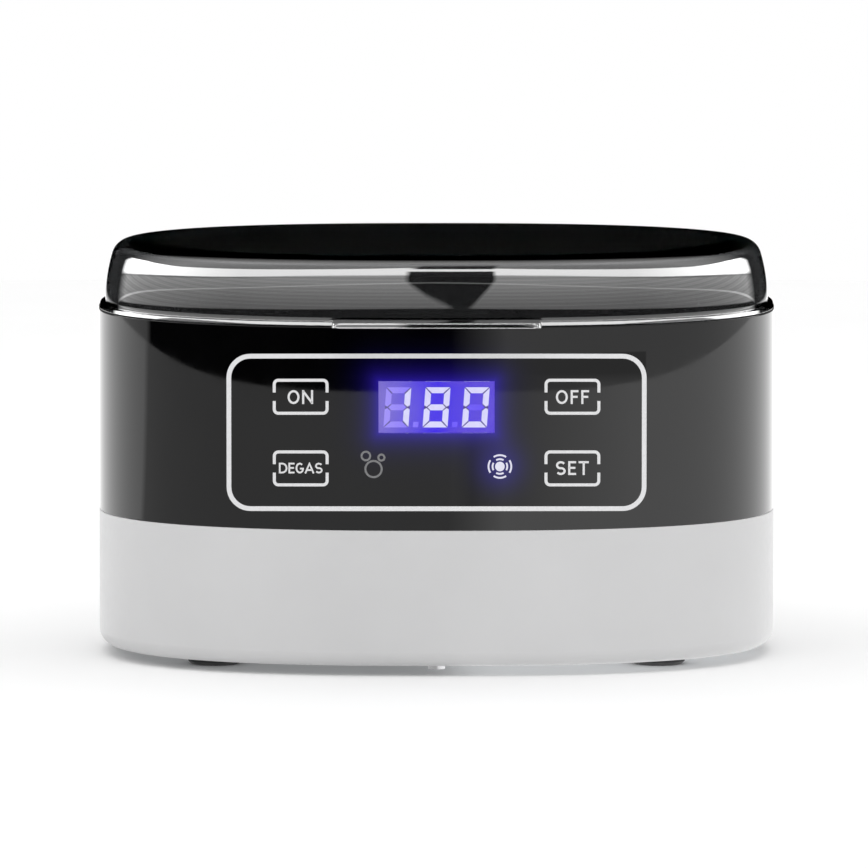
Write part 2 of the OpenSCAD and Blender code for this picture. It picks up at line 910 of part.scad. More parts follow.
module basket() {
    color([0.06, 0.06, 0.06])
        difference() {
            union() {
                oval_ring(basket_l, basket_d, basket_wall, basket_floor_z, basket_top_z);
                oval_block(basket_l, basket_d, basket_floor_z, basket_floor_z + 2);
                for (sx = [-1, 1]) {
                    box([min(sx * (basket_l - 1.5), sx * (tank_l + 3)), -12, lug_z],
                        [max(sx * (basket_l - 1.5), sx * (tank_l + 3)), 12, lug_z + lug_t]);
                    box([-16, min(sx * (basket_d - 1.5), sx * (tank_d + 3)), lug_z],
                        [16, max(sx * (basket_d - 1.5), sx * (tank_d + 3)), lug_z + lug_t]);
                }
            }
            for (i = [-5 : 5])
                translate([i * side_slot_pitch, 0, 0])
                    box([-2.5, -basket_d - cut, side_slot_z[0]], [2.5, basket_d + cut, side_slot_z[1]]);
            for (i = [-2 : 2])
                translate([0, i * side_slot_pitch, 0])
                    box([-basket_l - cut, -2.5, side_slot_z[0]], [basket_l + cut, 2.5, side_slot_z[1]]);
            for (sx = [-1, 1], i = [0 : 4])
                translate([sx * (rim_slot_x0 + rim_slot_pitch * i), 0, 0])
                    box([-1.5, -basket_d - cut, rim_slot_z[0]], [1.5, basket_d + cut, rim_slot_z[1]]);
            difference() {
                for (i = [-7 : 7])
                    translate([i * floor_slot_pitch, 0, 0])
                        box([-2, -basket_slot_reach(i), basket_floor_z - cut],
                            [2, basket_slot_reach(i), basket_floor_z + 2 + cut]);
                rod_z(9, basket_floor_z - 2, basket_floor_z + 4, grip_x, 0);
                box([-70, -2, basket_floor_z - 2], [70, 2, basket_floor_z + 4]);
            }
            rod_z(1.6, basket_floor_z - cut, basket_floor_z + 3, grip_x, 0);
        }
}

// how far a floor slot runs before it meets the oval wall
function basket_slot_reach(i) =
    let (along = abs(floor_slot_pitch * i) / (basket_l - 6))
    (basket_d - 8) * pow(1 - pow(along, oval_power), 1 / oval_power);

module basket_grip() {
    color([0.06, 0.06, 0.06])
        difference() {
            translate([grip_x, 0, 0])
                rotate_extrude()
                    polygon([
                        [0, 63], [6.5, 63], [6.5, 64], [4.6, 67], [4.6, 104], [5.4, 107], [8, 111],
                        [13, 116.2], [13.6, 118], [13, 119.8], [11, 121], [7, grip_top_z], [0, grip_top_z]
                    ]);
            rod_z(1.35, 62, 74, grip_x, 0);
        }
}

module grip_screw() {
    color("silver")
        screw_up(grip_x, 0, basket_floor_z, 12, head_h = 0.7, r = 1.3);
}

// ---------- assembly ----------

base_shell();
collar();
deck();
bottom_plate();
bottom_screws();
rubber_feet();
collar_screws();
tank();
tank_gasket();
tank_clips();
clip_screws();
transducer_horn();
piezo_rings();
electrode_plates();
back_mass();
transducer_bolt();
transducer_leads();
driver_board();
board_standoffs();
board_screws();
heatsink();
power_transistors();
drive_transformer();
resonance_inductor();
supply_capacitor();
film_capacitors();
mains_fuse();
fuse_clips();
board_connectors();
power_inlet();
inlet_pins();
mains_leads();
control_board();
control_board_screws();
touch_chip();
buzzer();
ribbon_cable();
led_display();
display_window();
touch_springs();
indicator_lights();
light_guides();
hinge_ears();
ear_screws();
hinge_pin();
lid();
hinge_block();
hinge_screws();
basket();
basket_grip();
grip_screw();
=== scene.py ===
"""Ultrasonic cleaner: the visible shells, panel print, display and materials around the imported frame."""

import json
import math

import bmesh
import bpy
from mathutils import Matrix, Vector


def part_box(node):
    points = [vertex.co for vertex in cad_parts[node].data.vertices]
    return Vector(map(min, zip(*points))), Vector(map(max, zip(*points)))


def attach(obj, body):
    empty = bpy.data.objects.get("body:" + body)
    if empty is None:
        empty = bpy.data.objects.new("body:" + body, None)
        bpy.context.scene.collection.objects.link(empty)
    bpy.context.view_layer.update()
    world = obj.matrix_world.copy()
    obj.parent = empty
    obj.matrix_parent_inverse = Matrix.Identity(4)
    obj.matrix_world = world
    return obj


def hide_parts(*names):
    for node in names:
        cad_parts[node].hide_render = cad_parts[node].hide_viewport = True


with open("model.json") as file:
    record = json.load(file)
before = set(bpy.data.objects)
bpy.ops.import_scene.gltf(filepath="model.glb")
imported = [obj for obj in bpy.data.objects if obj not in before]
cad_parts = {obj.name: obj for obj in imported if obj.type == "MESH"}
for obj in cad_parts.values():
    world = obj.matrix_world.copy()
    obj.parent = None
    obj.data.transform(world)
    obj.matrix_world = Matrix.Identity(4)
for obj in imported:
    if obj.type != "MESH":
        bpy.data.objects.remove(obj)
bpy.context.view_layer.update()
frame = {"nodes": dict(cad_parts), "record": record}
scene = bpy.context.scene

MM = 0.001
SHARP_ANGLE = math.radians(30)
PX_PER_MM = 3.2             # scale of the picture at the front of the collar
IMAGE_PX = 868
CAMERA_RISE = math.radians(5.2)

# ---------- places and sizes, from the frame ----------

base_low, base_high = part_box("base_shell")
deck_low, deck_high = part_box("deck")
lid_low, lid_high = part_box("lid")
tank_low, tank_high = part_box("tank")
basket_low, basket_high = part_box("basket")
window_low, window_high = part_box("display_window")
module_low, module_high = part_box("led_display")
grip_low, grip_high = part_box("basket_grip")
inlet_low, inlet_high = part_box("power_inlet")

HALF_L = base_high.x
HALF_D = base_high.y
OVAL_POWER = 2.5
OVAL_POINTS = 240
WALL = 2.5 * MM             # thickness of the shells
SEAM_Z = base_high.z
BASE_Z = base_low.z
RIM_Z = lid_low.z - 0.3 * MM
LID_TOP = lid_high.z
GRIP_X = (grip_low.x + grip_high.x) / 2
WINDOW_CENTRE = (window_low + window_high) / 2
WINDOW_HALF = (window_high - window_low) / 2


# ---------- mesh helpers ----------

def signed_power(v, e):
    return math.copysign(abs(v) ** e, v)


def oval(l, d, z):
    """One ring of vertices: half length, half depth, height."""
    ring = []
    for i in range(OVAL_POINTS):
        t = 2 * math.pi * (i + 0.5) / OVAL_POINTS
        x = l * signed_power(math.cos(t), 2 / OVAL_POWER)
        y = d * signed_power(math.sin(t), 2 / OVAL_POWER)
        ring.append((x, y, z))
    return ring


def front_y(x, inset=0.0):
    """The collar's front surface at a sideways place, moved inwards by inset."""
    share = min(abs(x) / HALF_L, 1.0)
    return -HALF_D * (1 - share ** OVAL_POWER) ** (1 / OVAL_POWER) + inset


def make_object(name, verts, faces):
    mesh = bpy.data.meshes.new(name)
    mesh.from_pydata([tuple(v) for v in verts], [], faces)
    mesh.validate()
    bm = bmesh.new()
    bm.from_mesh(mesh)
    bmesh.ops.recalc_face_normals(bm, faces=bm.faces)
    bm.to_mesh(mesh)
    bm.free()
    finish_shading(mesh)
    obj = bpy.data.objects.new(name, mesh)
    scene.collection.objects.link(obj)
    return obj


def finish_shading(mesh):
    mesh.polygons.foreach_set("use_smooth", [True] * len(mesh.polygons))
    mesh.set_sharp_from_angle(angle=SHARP_ANGLE)


def support(profile, reach=0.12 * MM, shortest=1.2 * MM):
    """Adds rings close to both ends of every long step, so that flat walls shade as flat."""
    out = []
    for i, ring in enumerate(profile):
        a, b = Vector(ring), Vector(profile[(i + 1) % len(profile)])
        out.append(tuple(a))
        length = (b - a).length
        if length > shortest:
            out += [tuple(a.lerp(b, reach / length)), tuple(b.lerp(a, reach / length))]
    return out


def ring_faces(a, b, count=OVAL_POINTS):
    """Faces between two rings of vertices that start at a and at b."""
    return [(a + k, a + (k + 1) % count, b + (k + 1) % count, b + k) for k in range(count)]


def loft(name, rings, gap=None):
    """Closed shell from oval rings, each joined to the next and the last to the first.

    The ring numbered gap isn't joined to the next one: each of the two gets a cap.
    """
    count, p = len(rings), OVAL_POINTS
    verts = [vertex for l, d, z in rings for vertex in oval(l, d, z)]
    faces = []
    for i in range(count):
        if i != gap:
            faces += ring_faces(i * p, (i + 1) % count * p)
    if gap is not None:
        after = (gap + 1) % count
        faces.append(tuple(range(gap * p, (gap + 1) * p)))
        faces.append(tuple(reversed(range(after * p, (after + 1) * p))))
    return make_object(name, verts, faces)


def curve(u, v, ru, rv, start, end, steps=10):
    """Points along an ellipse with the half widths ru and rv, from one angle to another, in degrees."""
    out = []
    for i in range(steps + 1):
        a = math.radians(start + (end - start) * i / steps)
        out.append((u + ru * math.cos(a), v + rv * math.sin(a)))
    return out


def arc(inset, z, radius, start, end, steps):
    """Points of a fillet as (inset, height): 0 degrees faces out, 90 degrees up."""
    return curve(inset, z, -radius, radius, start, end, steps)


def from_insets(points, l=HALF_L, d=HALF_D):
    """Oval rings from (inset, height) points: l and d are the outline's half length and half depth."""
    return [(l - inset, d - inset, z) for inset, z in points]


def box_mesh(low, high):
    (x0, y0, z0), (x1, y1, z1) = low, high
    verts = [(x, y, z) for z in (z0, z1) for y in (y0, y1) for x in (x0, x1)]
    faces = [(0, 2, 3, 1), (4, 5, 7, 6), (0, 1, 5, 4), (2, 6, 7, 3), (0, 4, 6, 2), (1, 3, 7, 5)]
    return verts, faces


def join_meshes(parts):
    verts, faces = [], []
    for v, f in parts:
        base = len(verts)
        verts += v
        faces += [tuple(base + i for i in face) for face in f]
    return verts, faces


def capped(first, last):
    """Closed mesh between two outlines with the same number of points."""
    n = len(first)
    faces = [tuple(range(n)), tuple(range(2 * n - 1, n - 1, -1))]
    faces += [(i, (i + 1) % n, n + (i + 1) % n, n + i) for i in range(n)]
    return first + last, faces


def prism(outline, low, high, axis):
    """Outline of (u, v) points extruded from low to high; u, v are the axes that are left, in order."""
    def place(u, v, w):
        return {"x": (w, u, v), "y": (u, w, v), "z": (u, v, w)}[axis]
    return capped([place(u, v, low) for u, v in outline], [place(u, v, high) for u, v in outline])


def disc_outline(u, v, radius, steps=32):
    return curve(u, v, radius, radius, 0, 360, steps)[:-1]


def rounded_outline(u0, v0, u1, v1, radius, steps):
    out = []
    corners = ((u1 - radius, v1 - radius, 0), (u0 + radius, v1 - radius, 90),
               (u0 + radius, v0 + radius, 180), (u1 - radius, v0 + radius, 270))
    for u, v, a in corners:
        out += curve(u, v, radius, radius, a, a + 90, steps)
    return out


def settle(obj):
    """Applies an object's modifiers to its mesh."""
    graph = bpy.context.evaluated_depsgraph_get()
    mesh = bpy.data.meshes.new_from_object(obj.evaluated_get(graph))
    obj.modifiers.clear()
    obj.data = mesh


def boolean(obj, parts, operation="DIFFERENCE"):
    """Cuts or adds closed meshes, given as (verts, faces)."""
    cutter = make_object(obj.name + "_cutter", *join_meshes(parts))
    mod = obj.modifiers.new("shape", "BOOLEAN")
    mod.operation = operation
    mod.solver = "EXACT"
    mod.use_self = len(parts) > 1
    mod.object = cutter
    settle(obj)
    bpy.data.objects.remove(cutter)
    finish_shading(obj.data)


def soften(obj, width, segments=2, angle=40):
    """Rounds the sharp edges for the render."""
    mod = obj.modifiers.new("edge", "BEVEL")
    mod.width = width
    mod.segments = segments
    mod.limit_method = "ANGLE"
    mod.angle_limit = math.radians(angle)
    mod.harden_normals = True


# ---------- material helpers ----------

class Nodes:
    """A short way to write a node tree that ends in one Principled shader."""

    def __init__(self, name):
        self.material = bpy.data.materials.new(name)
        self.material.use_nodes = True
        self.tree = self.material.node_tree
        self.shader = self.tree.nodes["Principled BSDF"]

    def add(self, kind, **values):
        node = self.tree.nodes.new(kind)
        for key, value in values.items():
            setattr(node, key, value)
        return node

    def link(self, source, target):
        self.tree.links.new(source, target)

    def set(self, **values):
        for key, value in values.items():
            self.shader.inputs[key.replace("_", " ")].default_value = value

    def axes(self):
        """An object's own x, y and z, in metres."""
        split = self.add("ShaderNodeSeparateXYZ")
        self.link(self.add("ShaderNodeTexCoord").outputs["Object"], split.inputs[0])
        return split.outputs

    def place(self, scale=(1, 1, 1)):
        coord = self.add("ShaderNodeTexCoord")
        mapping = self.add("ShaderNodeMapping")
        mapping.inputs["Scale"].default_value = scale
        self.link(coord.outputs["Object"], mapping.inputs["Vector"])
        return mapping.outputs["Vector"]

    def noise(self, scale, detail=3.0, roughness=0.5, stretch=(1, 1, 1)):
        node = self.add("ShaderNodeTexNoise")
        node.inputs["Scale"].default_value = scale
        node.inputs["Detail"].default_value = detail
        node.inputs["Roughness"].default_value = roughness
        self.link(self.place(stretch), node.inputs["Vector"])
        return node.outputs["Fac"]

    def spread(self, source, low, high, from_low=0.3, from_high=0.7):
        node = self.add("ShaderNodeMapRange")
        node.inputs["From Min"].default_value = from_low
        node.inputs["From Max"].default_value = from_high
        node.inputs["To Min"].default_value = low
        node.inputs["To Max"].default_value = high
        self.link(source, node.inputs["Value"])
        return node.outputs["Result"]

    def math(self, operation, a, b=None, clamp=False):
        node = self.add("ShaderNodeMath", operation=operation, use_clamp=clamp)
        for socket, value in zip(node.inputs, (a, b)):
            if value is None:
                continue
            if isinstance(value, (int, float)):
                socket.default_value = value
            else:
                self.link(value, socket)
        return node.outputs[0]

    def times(self, first, *others):
        for part in others:
            first = self.math("MULTIPLY", first, part)
        return first

    def plus(self, first, *others):
        for part in others:
            first = self.math("ADD", first, part)
        return first

    def minus(self, a, b):
        return self.math("SUBTRACT", a, b)

    def away(self, a, b):
        """Distance between two values."""
        return self.math("ABSOLUTE", self.minus(a, b))

    def length(self, a, b):
        return self.math("SQRT", self.plus(self.times(a, a), self.times(b, b)))

    def fall(self, value):
        """1 at zero, falling away as e to the power of minus the value."""
        return self.math("EXPONENT", self.times(value, -1.0))

    def blend(self, factor, a, b):
        node = self.add("ShaderNodeMix", data_type="RGBA")
        for socket, value in ((node.inputs[0], factor), (node.inputs[6], a), (node.inputs[7], b)):
            if isinstance(value, tuple):
                socket.default_value = (*value, 1.0)
            elif isinstance(value, (int, float)):
                socket.default_value = value
            else:
                self.link(value, socket)
        return node.outputs[2]

    def bump(self, source, strength, distance):
        node = self.add("ShaderNodeBump")
        node.inputs["Strength"].default_value = strength
        node.inputs["Distance"].default_value = distance
        self.link(source, node.inputs["Height"])
        self.link(node.outputs["Normal"], self.shader.inputs["Normal"])

    def colour(self, source):
        self.link(source, self.shader.inputs["Base Color"])

    def tones(self, scale, detail, dark, light):
        """Base colour that drifts between two tones."""
        self.colour(self.blend(self.spread(self.noise(scale, detail), 0, 1), dark, light))

    def roughness(self, source):
        self.link(source, self.shader.inputs["Roughness"])


def dress(obj, material):
    obj.data.materials.clear()
    obj.data.materials.append(material)


def plastic(name, colour, rough, grain_scale, grain, mottle):
    """Moulded plastic: a fine texture, slight tone changes and uneven gloss."""
    n = Nodes(name)
    light = tuple(min(1.0, c * (1 + mottle)) for c in colour)
    n.tones(38, 4, tuple(c * (1 - mottle) for c in colour), light)
    n.roughness(n.spread(n.noise(260, 3), rough * 0.88, min(1.0, rough * 1.12)))
    n.bump(n.noise(grain_scale, 2), 0.35, grain)
    return n.material


def metal(name, colour, rough, stretch, scale, bump):
    """Metal with fine directional scratches."""
    n = Nodes(name)
    n.set(Metallic=1.0)
    lines = n.noise(scale, 4, 0.6, stretch)
    dark = tuple(c * 0.86 for c in colour)
    n.colour(n.blend(n.spread(lines, 0, 1), dark, colour))
    n.roughness(n.spread(lines, rough * 0.75, min(1.0, rough * 1.25)))
    n.bump(lines, 0.4, bump)
    return n.material


# ---------- materials ----------

def white_shell_material():
    n = Nodes("white_shell")
    n.set(IOR=1.46)
    n.tones(24, 4, (0.570, 0.570, 0.574), (0.596, 0.596, 0.600))
    n.roughness(n.spread(n.noise(420, 3), 0.34, 0.44))
    n.bump(n.noise(2600, 2), 0.25, 0.000008)
    return n.material


SPILL_COLOUR = (0.022, 0.010, 0.32)
WINDOW_SPILL = 2.6 * MM     # how far the light reaches past the window
ICON_SPILL = 6.5 * MM


def spilled_light(n, x, z):
    """Light round the display window and round the lit icon, seen on the panel from ahead."""
    past_x = n.math("MAXIMUM", n.minus(n.away(x, WINDOW_CENTRE.x), WINDOW_HALF.x), 0.0)
    past_z = n.math("MAXIMUM", n.minus(n.away(z, WINDOW_CENTRE.z), WINDOW_HALF.z), 0.0)
    window = n.fall(n.times(n.length(past_x, past_z), 1 / WINDOW_SPILL))
    reach = n.times(n.length(n.minus(x, LIT_ICON[0]), n.minus(z, LIT_ICON[1])), 1 / ICON_SPILL)
    return n.plus(n.times(window, 0.9), n.times(n.fall(n.times(reach, reach)), 0.42))


def panel_film(n, x, z):
    """1 on the duller film inside the frame, right of the middle; below its top it fades to the right."""
    edge = 0.4 * MM
    low, high = PANEL_Z
    across = n.spread(n.math("ABSOLUTE", x), 1, 0, PANEL_HALF - edge, PANEL_HALF)
    upwards = n.times(n.spread(z, 0, 1, low, low + edge), n.spread(z, 1, 0, high - edge, high))
    right = n.spread(x, 0, 1, 5 * MM, 11 * MM)
    thick = n.math("MAXIMUM", n.spread(x, 1, 0, 26 * MM, 62 * MM), n.spread(z, 0, 1, 91 * MM, 95 * MM))
    return n.times(across, upwards, right, thick)


def black_gloss_material():
    """Piano-black collar, with the violet light that spills round the display and the lit icon."""
    n = Nodes("black_gloss")
    n.set(IOR=1.5, Emission_Color=(*SPILL_COLOUR, 1.0))
    n.tones(55, 4, (0.0006, 0.0006, 0.0007), (0.0016, 0.0016, 0.0018))
    n.roughness(n.spread(n.noise(130, 5, 0.6), 0.012, 0.03, 0.35, 0.75))
    n.bump(n.noise(46, 2), 0.05, 0.00002)
    x, y, z = n.axes()
    front = n.math("LESS_THAN", y, -HALF_D * 0.6)
    n.link(n.times(spilled_light(n, x, z), front), n.shader.inputs["Emission Strength"])
    film = n.times(panel_film(n, x, z), front)
    n.link(n.spread(film, 0.5, 0.29, 0, 1), n.shader.inputs["Specular IOR Level"])
    return n.material


def clear_lid_material():
    """Dark smoked clear plastic with a hard gloss."""
    n = Nodes("clear_lid")
    n.set(IOR=1.46, Transmission_Weight=1.0, Roughness=0.012)
    n.set(Coat_Weight=1.0, Coat_IOR=2.2, Coat_Roughness=0.012)
    n.tones(30, 3, (0.085, 0.087, 0.09), (0.105, 0.108, 0.11))
    n.bump(n.noise(18, 2), 0.06, 0.00005)
    return n.material


def lens_material():
    n = Nodes("display_lens")
    n.set(IOR=1.2, Transmission_Weight=1.0, Roughness=0.02)
    n.tones(90, 2, (0.90, 0.90, 0.97), (0.94, 0.94, 1.0))
    n.bump(n.noise(60, 2), 0.03, 0.00001)
    return n.material


def glow_material(name, left, middle, right):
    """Lit face whose colour drifts from left to right, as a lit diffuser does."""
    n = Nodes(name)
    n.set(Roughness=0.5, Base_Color=(0.02, 0.015, 0.05, 1.0), Emission_Strength=1.0)
    x, _, z = n.axes()
    ramp = n.add("ShaderNodeValToRGB")
    stops = ramp.color_ramp.elements
    stops[0].position, stops[0].color = 0.0, (*left, 1.0)
    stops[1].position, stops[1].color = 1.0, (*right, 1.0)
    stops.new(0.5).color = (*middle, 1.0)
    share = n.spread(x, 0, 1, window_low.x, window_high.x)
    drift = n.spread(n.noise(160, 3), -0.03, 0.03)
    edge = n.spread(n.away(z, WINDOW_CENTRE.z), 0, 1, WINDOW_HALF.z - 2.4 * MM, WINDOW_HALF.z - 0.2 * MM)
    right_half = n.spread(x, 0, 1, 0, window_high.x * 0.4)
    share = n.plus(share, n.times(edge, n.minus(1.0, share), right_half))
    n.link(n.math("ADD", share, drift, clamp=True), ramp.inputs[0])
    n.link(ramp.outputs[0], n.shader.inputs["Emission Color"])
    return n.material


def print_material(name, colour):
    n = Nodes(name)
    n.tones(900, 3, tuple(c * 0.94 for c in colour), colour)
    n.roughness(n.spread(n.noise(700, 2), 0.42, 0.55))
    n.bump(n.noise(3000, 2), 0.2, 0.000004)
    return n.material


def lit_print_material(name, colour):
    n = Nodes(name)
    n.set(Roughness=0.5, Base_Color=(0.03, 0.03, 0.035, 1.0), Emission_Strength=1.0)
    n.link(n.blend(n.spread(n.noise(800, 2), 0, 1), tuple(c * 0.93 for c in colour), colour),
           n.shader.inputs["Emission Color"])
    return n.material


def steel_material():
    """Brushed stainless sheet: long fine lines and a slight cloudiness."""
    n = Nodes("tank_steel")
    n.set(Metallic=1.0, Anisotropic=0.4)
    lines = n.noise(520, 5, 0.65, (0.06, 0.06, 3.0))
    cloud = n.noise(26, 4)
    n.colour(n.blend(n.spread(cloud, 0, 1), (0.52, 0.525, 0.53), (0.66, 0.665, 0.67)))
    n.roughness(n.plus(n.spread(lines, 0.16, 0.30), n.spread(cloud, -0.03, 0.05)))
    n.bump(lines, 0.35, 0.00002)
    return n.material


def ferrite_material():
    n = Nodes("transformer_core")
    n.tones(300, 4, (0.04, 0.035, 0.03), (0.10, 0.075, 0.04))
    n.roughness(n.spread(n.noise(500, 3), 0.4, 0.7))
    n.bump(n.noise(900, 3), 0.4, 0.00004)
    return n.material


def board_material():
    """Solder mask with faint copper tracks under it."""
    n = Nodes("circuit_board")
    wave = n.add("ShaderNodeTexWave", wave_type="BANDS")
    wave.inputs["Scale"].default_value = 160
    wave.inputs["Distortion"].default_value = 2.5
    n.link(n.place(), wave.inputs["Vector"])
    tracks = wave.outputs["Fac"]
    n.colour(n.blend(n.spread(tracks, 0, 1, 0.45, 0.55), (0.008, 0.10, 0.035), (0.02, 0.17, 0.06)))
    n.roughness(n.spread(tracks, 0.25, 0.40))
    n.bump(tracks, 0.3, 0.00003)
    return n.material


# ---------- the panel's layout ----------

PANEL_Z = (52.2 * MM, 101.6 * MM)
PANEL_HALF = 65.8 * MM
PANEL_LINE = 1.48 * MM
PANEL_R = 7.5 * MM
KEY_SIZE = (17.5 * MM, 11.3 * MM)
KEY_LINE = 0.94 * MM
KEY_R = 1.75 * MM
KEY_GAP = 2.66 * MM
KEY_X = 42.5 * MM
KEY_Z = (65.6 * MM, 88.1 * MM)
LIT_ICON = (19.8 * MM, 66.2 * MM)
DIM_ICON = (                # middle and radius of each ring
    (-19.7 * MM, 65.4 * MM, 2.55 * MM),
    (-22.1 * MM, 69.5 * MM, 1.35 * MM),
    (-17.25 * MM, 69.0 * MM, 0.95 * MM))
INK = 0.06 * MM             # thickness of the print
INK_STEP = 2.0 * MM         # longest straight stretch of print along the curved panel

PLASTICS = {                # colour, roughness, scale and depth of the grain, tone changes
    "black_plastic": ((0.012, 0.012, 0.013), 0.36, 1500, 0.000015, 0.06),
    "basket_black": ((0.006, 0.006, 0.0065), 0.30, 1500, 0.000012, 0.06),
    "ceramic": ((0.11, 0.10, 0.09), 0.55, 900, 0.00003, 0.15),
    "rubber": ((0.018, 0.018, 0.019), 0.75, 700, 0.00005, 0.15),
    "chip_black": ((0.02, 0.02, 0.02), 0.6, 900, 0.00002, 0.06),
    "connector_white": ((0.70, 0.67, 0.58), 0.45, 800, 0.00002, 0.06),
    "capacitor_sleeve": ((0.02, 0.03, 0.10), 0.25, 600, 0.00002, 0.12),
    "film_capacitor": ((0.40, 0.05, 0.03), 0.30, 600, 0.00003, 0.10),
    "lead_red": ((0.42, 0.02, 0.02), 0.42, 700, 0.00002, 0.10),
    "lead_brown": ((0.14, 0.06, 0.025), 0.42, 700, 0.00002, 0.10),
    "cable_grey": ((0.42, 0.42, 0.43), 0.45, 700, 0.00003, 0.08),
}

METALS = {                  # colour, roughness, stretch, scale and depth of the scratches
    "bright_steel": ((0.56, 0.56, 0.57), 0.22, (1, 1, 4), 700, 0.000008),
    "plate_steel": ((0.48, 0.49, 0.50), 0.38, (4, 0.3, 1), 400, 0.000008),
    "aluminium": ((0.70, 0.71, 0.72), 0.30, (1, 1, 6), 600, 0.000008),
    "brass": ((0.78, 0.56, 0.22), 0.28, (3, 1, 1), 700, 0.000008),
    "copper_winding": ((0.72, 0.30, 0.12), 0.32, (1, 1, 8), 500, 0.0001),
}

GLOWS = {                   # colours at the left, in the middle and at the right
    "display_body": ((0.205, 0.16, 0.59), (0.035, 0.004, 0.76), (0.10, 0.055, 0.65)),
    "display_dark": ((0.10, 0.08, 0.25), (0.03, 0.015, 0.16), (0.035, 0.02, 0.18)),
    "unlit_segment": ((0.38, 0.31, 0.90), (0.17, 0.11, 0.92), (0.11, 0.06, 0.84)),
}

MATERIALS = {
    "white_shell": white_shell_material(),
    "black_gloss": black_gloss_material(),
    "clear_lid": clear_lid_material(),
    "display_lens": lens_material(),
    "light_guide": lens_material(),
    "fuse_glass": lens_material(),
    "lit_segment": lit_print_material("lit_segment", (0.75, 0.74, 0.98)),
    "lit_icon": lit_print_material("lit_icon", (0.74, 0.73, 0.86)),
    "panel_print": print_material("panel_print", (0.72, 0.72, 0.73)),
    "dim_print": print_material("dim_print", (0.185, 0.185, 0.19)),
    "tank_steel": steel_material(),
    "circuit_board": board_material(),
    "transformer_core": ferrite_material(),
}
for make, table in ((plastic, PLASTICS), (metal, METALS), (glow_material, GLOWS)):
    MATERIALS.update({name: make(name, *values) for name, values in table.items()})


# ---------- stage: camera, floor, light ----------

def add_camera():
    """Long lens, a little above the panel's middle, at the front."""
    data = bpy.data.cameras.new("camera")
    cam = bpy.data.objects.new("camera", data)
    scene.collection.objects.link(cam)
    distance = 4.1
    target = Vector((-0.8 * MM, -HALF_D, 76.4 * MM))
    cam.location = target + Vector((0, -math.cos(CAMERA_RISE), math.sin(CAMERA_RISE))) * distance
    cam.rotation_euler = (math.pi / 2 - CAMERA_RISE, 0, 0)
    data.sensor_width = 36
    data.lens = data.sensor_width * distance / (IMAGE_PX / PX_PER_MM * MM)
    data.clip_end = 50
    scene.camera = cam


def reflection_only(obj):
    """Leaves an object visible in gloss alone."""
    for view in ("camera", "diffuse", "transmission", "shadow", "volume_scatter"):
        setattr(obj, "visible_" + view, False)


FLOOR_R = 1.308
FLOOR_BACK = 0.19           # the floor's middle lies behind the machine
ROOM_R = 3.0
ROOM_Z = 0.1
BOX_FOOT = 27.5             # degrees up, straight ahead
BOX_GLOW = 20.0
LINE_AT = (20.6, 21.1)      # degrees up: a thin bright line on the wall
LINE_GLOW = 2.6
BELOW_GLOW = 0.95           # of the room's part below the floor's height
BULB_ASIDE = 2.1            # degrees to the right


def floor_disc(name, z):
    outline = disc_outline(0, FLOOR_BACK, FLOOR_R, steps=128)
    return make_object(name, [(x, y, z) for x, y in outline], [tuple(range(len(outline)))])


def add_floor():
    floor = floor_disc("floor", 0)
    n = Nodes("floor")
    n.set(Roughness=0.9, IOR=1.05)
    n.tones(6, 3, (0.93, 0.93, 0.93), (0.95, 0.95, 0.95))
    dress(floor, n.material)
    floor.visible_glossy = False


def directions(n):
    """Azimuth (0 ahead, positive to the right), elevation and sideways angle of an object's own points."""
    x, y, z = n.axes()
    turn = n.math("ARCTAN2", x, n.times(y, -1.0))
    rise = n.math("ARCTAN2", z, n.length(x, y))
    aside = n.math("ARCTAN2", x, n.length(y, z))
    return [n.times(angle, math.degrees(1)) for angle in (turn, rise, aside)]


def band(n, value, low, high, soft):
    """1 between low and high, fading over soft outside them."""
    return n.times(n.spread(value, 0, 1, low - soft, low), n.spread(value, 1, 0, high, high + soft))


def right_share(n, turn):
    """How much of the pale right side a direction sees; the far left sees some of it again."""
    right = n.spread(turn, 0, 1, 1, 9)
    left = n.spread(turn, 0.72, 0, -100, -96)
    return n.math("MAXIMUM", right, left, clamp=True)


def glow_by(name, build):
    """Emission material whose strength comes from build(n)."""
    n = Nodes(name)
    light = n.add("ShaderNodeEmission")
    n.link(build(n), light.inputs["Strength"])
    out = next(node for node in n.tree.nodes if node.type == "OUTPUT_MATERIAL")
    n.link(light.outputs[0], out.inputs[0])
    n.tree.nodes.remove(n.shader)
    return n.material


def ground_glow(n):
    turn = directions(n)[0]
    return n.spread(right_share(n, turn), 0.70, 1.62, 0, 1)


def wall_glow(n, rise, lift, foot):
    """Striped wall from its foot up to the softbox, brighter upwards."""
    broad = n.times(n.math("SINE", n.times(rise, 2.6)), 0.09)
    fine = n.times(n.math("SINE", n.times(rise, 6.3)), 0.08)
    slope = n.math("MINIMUM", n.times(n.math("EXPONENT", n.times(rise, 0.045)), 2.1), 5.5)
    ends = n.times(n.spread(n.minus(rise, foot), 0, 1, -0.5, 0), n.spread(lift, 1, 0, -1.5, 0))
    return n.times(ends, slope, n.plus(1.0, broad, fine))


def bulb_shade(n, rise, side, aside):
    """1 on the dark bulb ahead, which is widest at 22 to 24 degrees up and fades out above 70."""
    reach = n.math("MINIMUM", n.spread(rise, 1.0, 4.7, 4, 22), n.spread(rise, 4.7, 2.4, 24, 88))
    inside = n.spread(n.minus(reach, n.away(aside, BULB_ASIDE)), 0, 1, -0.4, 0.4)
    return n.times(inside, n.spread(rise, 1, 0, 70, 84), n.spread(side, 1, 0, 60, 90))


